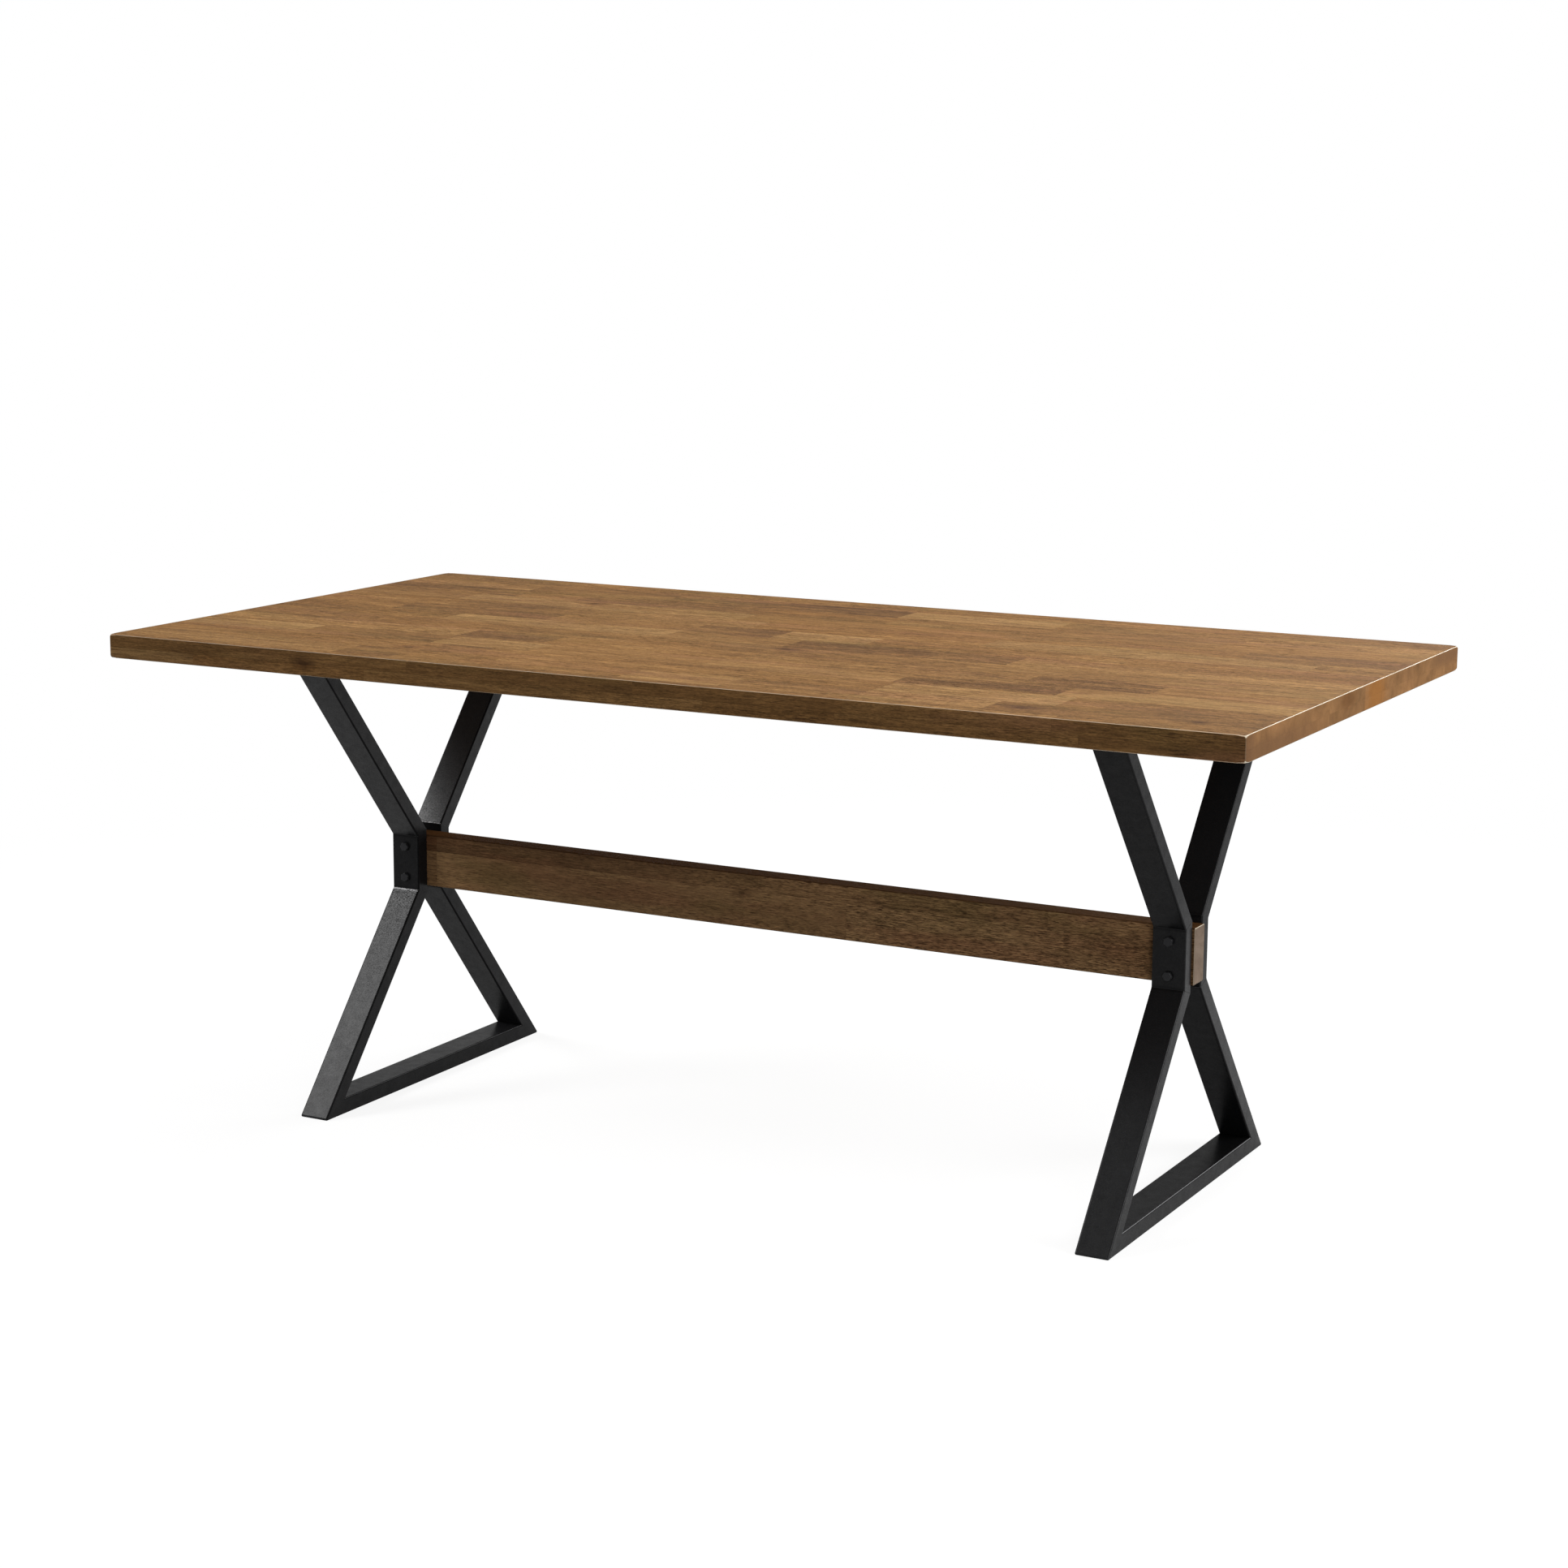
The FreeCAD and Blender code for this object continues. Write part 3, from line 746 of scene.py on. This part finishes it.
def stave_fields(middle, row_seams, layer_seams, plans, draw, row_axis):
    """For every face the stave that it belongs to: its look, a random shift for its grain, and the lowest and
    highest corner of the stave. A stave's sides that are the block's own outside are put far away, so that a
    distance to them never makes a seam."""
    layer_axis = 3 - row_axis
    rows = np.searchsorted(row_seams, middle[:, row_axis])
    layers = np.searchsorted(layer_seams, middle[:, layer_axis])
    look, shift = np.zeros((2, len(middle), 3))
    low, high = np.full((len(middle), 3), -FAR), np.full((len(middle), 3), FAR)
    for axis, seams, place in ((row_axis, row_seams, rows), (layer_axis, layer_seams, layers)):
        ends = np.array((-FAR, *seams, FAR))
        low[:, axis], high[:, axis] = ends[place], ends[place + 1]
    for layer, plan in enumerate(plans):
        for row, (ends, looks) in enumerate(plan):
            chosen = (rows == row) & (layers == layer)
            stave = np.clip(np.searchsorted(ends, middle[chosen, 0]) - 1, 0, len(looks) - 1)
            shifts = draw.uniform(-40, 40, (len(looks), 3))
            look[chosen], shift[chosen] = looks[stave], shifts[stave]
            padded = np.array((-FAR, *ends[1:-1], FAR))
            low[chosen, 0], high[chosen, 0] = padded[stave], padded[stave + 1]
    return look, shift, low, high


def stave_block(name, box, corner, edge, row_seams, layer_seams, plans, row_axis, draw, node, slot):
    """A block of glued staves: the outside of a lattice whose lines include every stave end and seam, rounded
    along its edges, with each face told which stave it is."""
    low, high = (np.array(point) for point in box)
    centre, half = (low + high) / 2, (high - low) / 2
    cuts = np.concatenate([ends for plan in plans for ends, _ in plan])
    even = np.arange(-half[0], half[0], EVEN_STEP)
    seams = {row_axis: row_seams, 3 - row_axis: layer_seams}
    near_x, near_y = (
        [side * (size - corner - lead) for side in (-1, 1) for lead in CORNER_LEADS] for size in half[:2]
    )
    xs = rim_stations(half[0], corner, edge, [*cuts, *even, *near_x])
    ys = rim_stations(half[1], corner, edge, [*seams[1], *near_y])
    zs = rim_stations(half[2], corner, edge, seams[2])
    sharp, faces = box_grid(xs, ys, zs)
    look, shift, stave_low, stave_high = stave_fields(
        sharp[faces].mean(1), row_seams, layer_seams, plans, draw, row_axis
    )
    values = {"look": look, "shift": shift, "low": stave_low + centre, "high": stave_high + centre}
    fields = [(f"stave_{label}", "FLOAT_VECTOR", "FACE", value) for label, value in values.items()]
    return add_piece(name, (rounded_box(sharp, half, corner, edge) + centre, faces), slot, [node], fields)


# ---------------------------------------------------------------- leg frames

TUBES = ("front_upper", "front_waist", "front_lower", "foot", "back_lower", "back_waist", "back_upper")
TOES = (3, 4)  # the outline's points that touch the floor
# Where thin pale lines of worn coat with a painted highlight lie, as (outer, inner) side of a tube, and where
# the coat is chipped, its bright lip partly a painted highlight, as (first, last) mitre of a tube.
WEAR_AND_HIGHLIGHT = {"left_foot": (0.3, 0.87), "right_foot": (0.3, 0.97), "right_front_lower": (0.84, 0.3)}
CHIPPED_AND_HIGHLIT = {"left_front_lower": (1.8, 0.0), "left_back_upper": (1.3, 0.0)}
# Painted shade: how much darker and duller the coat is painted on a tube's arrises.
ARRIS_SHADE = {
    "left_front_lower": 0.55, "right_front_upper": 0.2, "right_front_waist": 0.25, "right_front_lower": 0.3,
    "right_back_upper": 0.3, "right_back_waist": 0.3, "right_back_lower": 0.5,
}
# Painted light: how much lighter than usual, darker below 0, the (outer, inner, flank) faces of a tube are
# painted in colour and gloss.
PAINTED_FACE_LIGHT = {
    "left_front_upper": (0.25, 0, 0.22), "left_front_waist": (-0.34, 0, 0.1),
    "left_front_lower": (0, 0, -0.12), "left_foot": (0, 0, -0.28),
    "left_back_waist": (0, -0.35, -0.1), "left_back_upper": (0, 1.5, 0.4),
    "right_front_upper": (-0.32, 0, 0), "right_front_waist": (-0.3, 0, 0.75),
    "right_front_lower": (0, 0, 0.3), "right_foot": (0, -0.5, 0), "right_back_lower": (0, -0.45, 0.5),
}
USUAL_WEAR_AND_HIGHLIGHT, USUAL_ARRIS_SHADE = (0.4, 0.4), 0.75
BEAD_RIPPLE, FILLET_RIPPLE = 0.06, 0.12  # how unevenly a dressed seam and an undressed fillet swell


def leg_outline(legs):
    """The X's outline in the (y, z) plane, walked from the front top end down to the foot and up to the back
    top end, and for each of its points the step from the outer line to the inner line at depth 1: between two
    tubes (n1 + n2) / (1 + n1 . n2), which is the mitre, and at the two top ends the step that keeps z."""
    _, foot_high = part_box("left_foot_tube")
    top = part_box("left_front_upper_tube")[1].z
    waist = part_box("left_back_waist_tube")[1].y
    spread, low, high = foot_high.y, (top - legs.waist_height) / 2, (top + legs.waist_height) / 2
    outer = np.array(((-spread, top), (-waist, high), (-waist, low), (-spread, 0),
                      (spread, 0), (waist, low), (waist, high), (spread, top)))
    run = np.diff(outer, axis=0)
    run /= np.linalg.norm(run, axis=1)[:, None]
    inward = np.column_stack((-run[:, 1], run[:, 0]))
    meet = (inward[:-1] + inward[1:]) / (1 + np.einsum("ij,ij->i", inward[:-1], inward[1:]))[:, None]
    first, last = (inward[k] - run[k] * inward[k, 1] / run[k, 1] for k in (0, -1))
    return outer, run, inward, np.vstack((first, meet, last))


def tube_place(tube):
    """A tube's width and its middle, along the table."""
    low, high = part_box(f"{tube}_tube")
    return high.x - low.x, (low.x + high.x) / 2


def mitre_loop(section, outer, step, depth, leg_x):
    """A tube's section laid into the mitre plane at one point of the outline: (a, b) goes to x = leg + a and
    (y, z) = outer + (depth / 2 - b) * step."""
    inward = depth / 2 - section[:, 1]
    return np.column_stack((leg_x + section[:, 0], outer + inward[:, None] * step))


def ground_toe(points, middle, toward, inward):
    """Rounds the toe between two tubes about `middle`, the middle O of the circle that touches both outer
    lines. A point O + q of the tube that lies towards the toe, with q . toward > 0 and h = -q . inward > 0,
    goes to O + q h / |q|."""
    reach = points[..., 1:] - middle
    height = -(reach @ inward)
    inside = (reach @ toward > 0) & (height > 0)
    scale = np.where(inside, height / np.maximum(np.linalg.norm(reach, axis=-1), 1e-9), 1.0)
    return np.concatenate((points[..., :1], middle + reach * scale[..., None]), -1)


def tube_shell(legs, place, outline, index, wear_and_highlight, chipped, painted_face_lights, arris_shade):
    """One mitred tube with its wall: the outside section ruled from one mitre plane to the next, and the
    bore's section ruled back, closed at both ends by the wall's cut face, its toe ground round. Gives, for
    every point, how much painted shade darkens and dulls the coat on the arrises and in the mitres, how far
    thin pale lines of worn coat with a painted highlight reach on the (outer, inner) side, how chipped and
    coarse it is from the (first, last) mitre on, the chips' bright lip partly a painted highlight, and how
    much painted light makes its (outer, inner, flank) face lighter or darker than usual, in colour and gloss.
    The painted light is given for the tube before, this tube and the next: towards a mitre the flank takes the
    mean of both tubes."""
    outer, run, inward, step = outline
    width, leg_x = place
    before, sheen, after = painted_face_lights
    depth, wall = legs.tube_depth, legs.wall
    outside, facing, arris = rounded_loop(width, depth, legs.tube_corner, 6)
    bore, _, _ = rounded_loop(width - 2 * wall, depth - 2 * wall, legs.bore_corner, 6)
    ends = (index, index + 1)
    start, end, bore_start, bore_end = (
        mitre_loop(section, outer[k], step[k], depth, leg_x) for section in (outside, bore) for k in ends
    )
    span = np.linalg.norm(outer[index + 1] - outer[index])
    near = legs.chipped_end * np.linspace(0, 1.5, 8)
    away = np.sort(np.concatenate((near, span * np.linspace(0, 1, 9)[1:-1], span - near)))
    rows = start + (away / span)[:, None, None] * (end - start)
    rows = np.concatenate((rows, bore_end[None], bore_start[None]))
    for point, toward in zip(ends, (-run[index], run[index])):
        if point in TOES:
            rows = ground_toe(rows, outer[point] + legs.toe_radius * step[point], toward, inward[index])

    on_outer, level, flank = outside[:, 1] > 0, facing[:, 1] ** 2, facing[:, 0] ** 2
    from_end = np.array((away, span - away))
    rim = np.clip(1 - from_end / legs.chipped_end, 0, 1)
    shaded = (rim * [[point not in TOES] for point in ends]).max(0) * legs.mitre_shade
    joining = np.array((before[2] - sheen[2], after[2] - sheen[2])) / 2
    # painted shade, worn lines with a painted highlight, chips, coarse peel and painted face light, point by
    # point
    fields = dict(zip(COAT_FIELDS, (
        np.maximum(arris * arris_shade, np.outer(shaded, level)),
        np.tile(arris * np.where(on_outer, *wear_and_highlight), (len(away), 1)),
        np.outer(chipped @ rim, level),
        np.outer(chipped @ np.exp(-from_end / legs.coarse_end), level),
        np.where(on_outer, sheen[0], sheen[1]) * level + sheen[2] * flank
        + np.outer(joining @ np.exp(-from_end / legs.joining_end), flank),
    )))
    bore_field = np.zeros((2, len(bore)))
    shell = facing_out(rows.reshape(-1, 3), grid_faces(len(rows), len(outside), wrap_rows=True))
    return shell, [
        (name, "FLOAT", "POINT", np.concatenate((field, bore_field))) for name, field in fields.items()
    ]


def seam_shells(legs, place, outline):
    """The dressed weld seams of one leg: a bead sunk into the surface along each mitre above the ground toes,
    and a fillet round the two top ends under the mounting plate."""
    outer, run, _, step = outline
    width, leg_x = place
    depth = legs.tube_depth
    section, facing, _ = rounded_loop(width, depth, legs.tube_corner)
    shells = []
    for k in sorted(set(range(1, len(outer) - 1)) - set(TOES)):
        path = mitre_loop(section - facing * legs.seam_sink, outer[k], step[k], depth, leg_x)
        rise = step[k] / np.linalg.norm(step[k])
        outward = np.column_stack((facing[:, 0], -facing[:, 1:] * rise))
        along = run[k - 1] + run[k]
        along = np.tile((0.0, *(along / np.linalg.norm(along))), (len(path), 1))
        shells.append(swept_bead(path, along, outward, legs.seam_radius, BEAD_RIPPLE))
    for k in (0, len(outer) - 1):
        path = mitre_loop(section, outer[k], step[k], depth, leg_x)
        outward = np.column_stack((facing[:, 0], -facing[:, 1] * np.sign(step[k][0]), np.zeros(len(path))))
        up = np.tile((0.0, 0.0, 1.0), (len(path), 1))
        shells.append(swept_bead(path - up * 0.0004, up, outward, legs.fillet_radius, FILLET_RIPPLE))
    for points, _ in shells:
        points[:, 2] = np.clip(points[:, 2], 0.0, outer[0][1])
    return shells


# ---------------------------------------------------------------- operators


class SAWBUCK_OT_table_top(bpy.types.Operator):
    """Makes the top: thirteen rows of glued staves in two layers, with rounded arrises and corners"""

    bl_idname = "sawbuck.table_top"
    bl_label = "Table Top"

    def execute(self, context):
        top = context.scene.table_top
        draw = np.random.default_rng(SEED)
        low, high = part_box("table_top")
        half_length, half_width = (high.x - low.x) / 2, (high.y - low.y) / 2
        row_seams = np.arange(-half_width + top.front_strip, half_width - top.front_strip, top.stave_width)
        layer_seams = [top.layer_height - (high.z - low.z) / 2]
        limits = (top.shortest_stave, top.longest_stave)
        plans = [
            stave_plan(len(row_seams) + 1, half_length, chosen, limits, draw)
            for chosen in (LOWER_STANDOUTS, UPPER_STANDOUTS)
        ]
        stave_block("table_top_staves", (low, high), top.corner_radius, top.edge_radius,
                    row_seams, layer_seams, plans, 1, draw, "table_top", "top_wood")
        return {"FINISHED"}


class SAWBUCK_OT_stretcher_beam(bpy.types.Operator):
    """Makes the stretcher: two rows of staves, one above the other, with rounded arrises"""

    bl_idname = "sawbuck.stretcher_beam"
    bl_label = "Stretcher Beam"

    def execute(self, context):
        top, beam = context.scene.table_top, context.scene.table_stretcher
        draw = np.random.default_rng(SEED + 1)
        low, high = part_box("stretcher_beam")
        half_length = (high.x - low.x) / 2
        row_seams = [(high.z - low.z) / 2 - beam.upper_stave]
        limits = (top.shortest_stave, top.longest_stave)
        rows = [stave_plan(1, half_length, chosen, limits, draw)[0] for chosen in (BEAM_LOWER, BEAM_UPPER)]
        stave_block("stretcher_staves", (low, high), beam.edge_radius, beam.edge_radius,
                    row_seams, [], [rows], 2, draw, "stretcher_beam", "stretcher_wood")
        return {"FINISHED"}


class SAWBUCK_OT_leg_tubes(bpy.types.Operator):
    """Makes the seven mitred steel tubes of each X frame"""

    bl_idname = "sawbuck.leg_tubes"
    bl_label = "Leg Tubes"

    def execute(self, context):
        legs = context.scene.table_legs
        outline = leg_outline(legs)
        for leg in LEGS:
            place = tube_place(f"{leg}_foot")
            painted_face_lights = [PAINTED_FACE_LIGHT.get(f"{leg}_{part}", (0, 0, 0)) for part in TUBES]
            painted_face_lights = [painted_face_lights[0], *painted_face_lights, painted_face_lights[-1]]
            for index, part in enumerate(TUBES):
                name = f"{leg}_{part}"
                shell, fields = tube_shell(
                    legs, place, outline, index, WEAR_AND_HIGHLIGHT.get(name, USUAL_WEAR_AND_HIGHLIGHT), CHIPPED_AND_HIGHLIT.get(name, (0, 0)),
                    painted_face_lights[index:index + 3], ARRIS_SHADE.get(name, USUAL_ARRIS_SHADE),
                )
                add_piece(f"{name}_coated", shell, "black_steel", [f"{name}_tube"], fields)
        return {"FINISHED"}


class SAWBUCK_OT_weld_seams(bpy.types.Operator):
    """Makes the dressed weld seams along the mitres and the fillets under the mounting plates"""

    bl_idname = "sawbuck.weld_seams"
    bl_label = "Weld Seams"

    def execute(self, context):
        legs = context.scene.table_legs
        for leg in LEGS:
            shells = seam_shells(legs, tube_place(f"{leg}_foot"), leg_outline(legs))
            add_piece(f"{leg}_weld_seams", joined(shells), "black_steel", [])
        return {"FINISHED"}


class SAWBUCK_OT_mounting_plates(bpy.types.Operator):
    """Gives the mounting plates under the top their powder coat"""

    bl_idname = "sawbuck.mounting_plates"
    bl_label = "Mounting Plates"

    def execute(self, context):
        for leg in LEGS:
            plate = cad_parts[f"{leg}_mounting_plate"]
            plate.data.materials.clear()
            plate.data.materials.append(finish_for("black_steel"))
        return {"FINISHED"}


def hex_head(end, seat, flats, bevel, radius):
    """Stations of a hexagon head, bevelled at its free end and eased at its seat, down to the round shank."""
    return [
        (end, 0.0, ROUND), (end, flats * 0.40, ROUND), (end + 0.0001, flats * 0.465, ROUND),
        (end + bevel, flats * 0.55, flats), (end + bevel * 1.7, flats * 0.6, flats),
        (seat - 0.0004, flats * 0.6, flats), (seat, flats * 0.57, flats * 0.98), (seat, radius, ROUND),
    ]


class SAWBUCK_OT_stretcher_bolts(bpy.types.Operator):
    """Makes the hexagon bolts through the waists, with their nuts and washers at the back"""

    bl_idname = "sawbuck.stretcher_bolts"
    bl_label = "Stretcher Bolts"

    def execute(self, context):
        fasteners = context.scene.table_fasteners
        radius, flats, head = fasteners.bolt_radius, fasteners.bolt_flats, fasteners.bolt_head
        bevel, rim, tip, thread_depth, nut_turn = 0.0009, 0.00025, 0.0008, 0.0006, 17
        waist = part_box("left_front_waist_tube")[0].y
        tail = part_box("stretcher_bolts")[1].y
        washer_low, washer_high = (corner.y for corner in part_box("stretcher_washers"))
        nut_low, nut_high = (corner.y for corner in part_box("stretcher_nuts"))
        middle = sum(corner.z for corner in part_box("left_front_waist_tube")) / 2
        thread = (nut_high - 0.002, tail - tip)
        bolt = hex_head(waist - head, waist, flats, bevel, radius)
        bolt += [(s, radius, ROUND) for s in np.linspace(*thread, 26)]
        bolt += [(tail, radius * 0.8, ROUND), (tail, 0.0, ROUND)]
        chamfer = flats / math.sqrt(3) * 0.93
        nut = [
            (nut_low, radius), (nut_low, chamfer), (nut_low + bevel, flats), (nut_high - bevel, flats),
            (nut_high, chamfer), (nut_high, radius * 1.12), (nut_high - 0.0005, radius),
        ]
        inside = radius * 1.05
        outside = (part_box("stretcher_washers")[1].z - middle) - fasteners.bolt_spacing / 2
        washer = [
            (washer_low, inside), (washer_low, outside - rim), (washer_low + rim, outside),
            (washer_high - rim, outside), (washer_high, outside - rim), (washer_high, inside),
        ]
        ripple = (*thread, fasteners.thread_pitch, thread_depth)
        bolts, nuts, washers = [], [], []
        for leg, turns in zip(LEGS, ((30, 0), (0, 30))):
            _, leg_x = tube_place(f"{leg}_front_waist")
            for rise, turn in zip((-0.5, 0.5), turns):
                pose = ((0, 1, 0), (0, 0, 1), (leg_x, 0.0, middle + rise * fasteners.bolt_spacing))
                bolts.append(turned(bolt, *pose, math.radians(turn), ripple))
                nuts.append(ringed(nut, *pose, math.radians(turn + nut_turn), flats))
                washers.append(ringed(washer, *pose))
        for kind, shells, slot in (
            ("bolts", bolts, "black_bolt"), ("nuts", nuts, "zinc"), ("washers", washers, "zinc")
        ):
            add_piece(f"stretcher_{kind}_dressed", joined(shells), slot, [f"stretcher_{kind}"])
        return {"FINISHED"}


class SAWBUCK_OT_plate_screws(bpy.types.Operator):
    """Makes the hexagon screws that hold the mounting plates to the top"""

    bl_idname = "sawbuck.plate_screws"
    bl_label = "Plate Screws"

    def execute(self, context):
        fasteners = context.scene.table_fasteners
        radius, flats, head = fasteners.screw_radius, fasteners.screw_flats, fasteners.screw_head
        bevel, point = 0.0007, 0.004
        low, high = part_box("plate_screws")
        screw = hex_head(low.z, low.z + head, flats, bevel, radius)
        screw += [(high.z - point, radius, ROUND), (high.z, 0.0, ROUND)]
        reach = flats / math.sqrt(3)
        shells = []
        for leg in LEGS:
            _, middle = tube_place(f"{leg}_foot")
            outermost = high.x - reach if leg == "right" else -low.x - reach
            step = abs(outermost) - abs(middle)
            for side in (-1, 1):
                for end in (-1, 1):
                    foot = (middle + side * step, end * (high.y - flats / 2), 0.0)
                    shells.append(turned(screw, (0, 0, 1), (1, 0, 0), foot, 0.35 * side + end))
        add_piece("plate_screws_dressed", joined(shells), "zinc", ["plate_screws"])
        return {"FINISHED"}


# Soft boxes, as (setting of their watts, where they stand, where they point, size)
SOFT_BOXES = {
    "overhead_box": ("overhead", (0.9, 0.25, 3.1), (0.4, 0.0, 0.7), (3.0, 2.2)),
    "end_box": ("key", (3.6, 0.8, 2.0), (0.4, 0.0, 0.6), (2.0, 2.0)),
    "front_box": ("front", (-5.5, -3.4, 5.75), (-0.4, -0.2, 0.3), (2.6, 2.6)),
    "low_box": ("low", (3.4, -4.4, 1.7), (0.0, 0.0, 0.4), (1.6, 1.6)),
    "back_box": ("back", (0.6, 3.6, 2.2), (0.0, 0.0, 0.5), (2.4, 1.6)),
}
WHITE = (1.0, 1.0, 1.0, 1.0)
FLOOR_REACH = 40.0
SHADOWED_FLOOR, FLOOR_GLOW = (0.24, 0.24, 0.24), 0.86  # together nearly white where no shadow falls
FLOOR_FADE = (1.4, 2.8)  # distances between which the seen floor turns plain white


class SAWBUCK_OT_stage(bpy.types.Operator):
    """Sets up the pale floor, the soft studio light and the camera"""

    bl_idname = "sawbuck.stage"
    bl_label = "Stage"

    def execute(self, context):
        scene, stage = context.scene, context.scene.table_stage
        scene.view_settings.view_transform = "Standard"
        self.floor(stage)
        f = Finish("studio", "worlds")
        soft, white = (f.node("Background", (WHITE, level)) for level in (stage.fill, 1.0))
        scene.world = f.shown(f.node("MixShader", (f.seen(), soft, white)), "OutputWorld")
        for name, (watts_setting, place, aim, size) in SOFT_BOXES.items():
            lamp = bpy.data.lights.new(name, "AREA")
            lamp.shape, lamp.size, lamp.size_y = "RECTANGLE", *size
            lamp.energy = getattr(stage, watts_setting)
            self.hold(lamp, place, (Vector(aim) - Vector(place)).to_track_quat("-Z", "Y").to_euler())
        camera = bpy.data.cameras.new("camera")
        camera.sensor_width, camera.lens = 36, stage.camera_lens
        camera.shift_x, camera.shift_y = stage.camera_shift
        scene.camera = self.hold(camera, stage.camera_place, stage.camera_turn)
        return {"FINISHED"}

    def hold(self, held, place, turn):
        """Stands a lamp or the camera in its place."""
        holder = bpy.data.objects.new(held.name, held)
        holder.location, holder.rotation_euler = place, turn
        bpy.context.scene.collection.objects.link(holder)
        return holder

    def floor(self, stage):
        """The floor is matt for the object's light. The rays that see it find it glowing, with the shadow
        left in it near the table, and plain white further off."""
        f = Finish("floor")
        matt, shadowed = (f.node("BsdfDiffuse", ((*tint, 1.0),)) for tint in (stage.floor, SHADOWED_FLOOR))
        glow, white = (f.node("Emission", (WHITE, level)) for level in (FLOOR_GLOW, 1.0))
        away = f.vector("LENGTH", f.place(), output=1).rise(*FLOOR_FADE)
        pale = f.node("MixShader", (away, f.node("AddShader", (shadowed, glow)), white))
        mesh = bpy.data.meshes.new("floor")
        corners = [(x * FLOOR_REACH, y * FLOOR_REACH, 0) for x, y in ((-1, -1), (1, -1), (1, 1), (-1, 1))]
        mesh.from_pydata(corners, [], [(0, 1, 2, 3)])
        mesh.materials.append(f.shown(f.node("MixShader", (f.seen(), matt, pale))))
        floor = bpy.data.objects.new("floor", mesh)
        bpy.context.scene.collection.objects.link(floor)


OPERATORS = (
    SAWBUCK_OT_table_top,
    SAWBUCK_OT_stretcher_beam,
    SAWBUCK_OT_leg_tubes,
    SAWBUCK_OT_weld_seams,
    SAWBUCK_OT_mounting_plates,
    SAWBUCK_OT_stretcher_bolts,
    SAWBUCK_OT_plate_screws,
    SAWBUCK_OT_stage,
)


class SAWBUCK_PT_table(bpy.types.Panel):
    """Lists the table's pieces and their settings"""

    bl_idname = "SAWBUCK_PT_table"
    bl_label = "Sawbuck Table"
    bl_space_type = "VIEW_3D"
    bl_region_type = "UI"
    bl_category = "Table"

    def draw(self, context):
        for operator in OPERATORS:
            self.layout.operator(operator.bl_idname)
        for name, group in SETTINGS.items():
            box = self.layout.box()
            box.label(text=group.__name__.replace("Settings", ""))
            for setting in group.__annotations__:
                box.prop(getattr(context.scene, name), setting)


CLASSES = (*SETTINGS.values(), *OPERATORS, SAWBUCK_PT_table)


def register():
    """Registers the classes. A setting's name is its key with spaces."""
    for group in SETTINGS.values():
        for key, setting in group.__annotations__.items():
            setting.keywords["name"] = key.replace("_", " ").capitalize()
    for group in CLASSES:
        bpy.utils.register_class(group)
    for name, group in SETTINGS.items():
        setattr(bpy.types.Scene, name, bpy.props.PointerProperty(type=group))


def unregister():
    for name in SETTINGS:
        delattr(bpy.types.Scene, name)
    for group in reversed(CLASSES):
        bpy.utils.unregister_class(group)


def main():
    register()
    for operator in OPERATORS:
        category, action = operator.bl_idname.split(".")
        getattr(getattr(bpy.ops, category), action)()


if __name__ == "__main__":
    main()
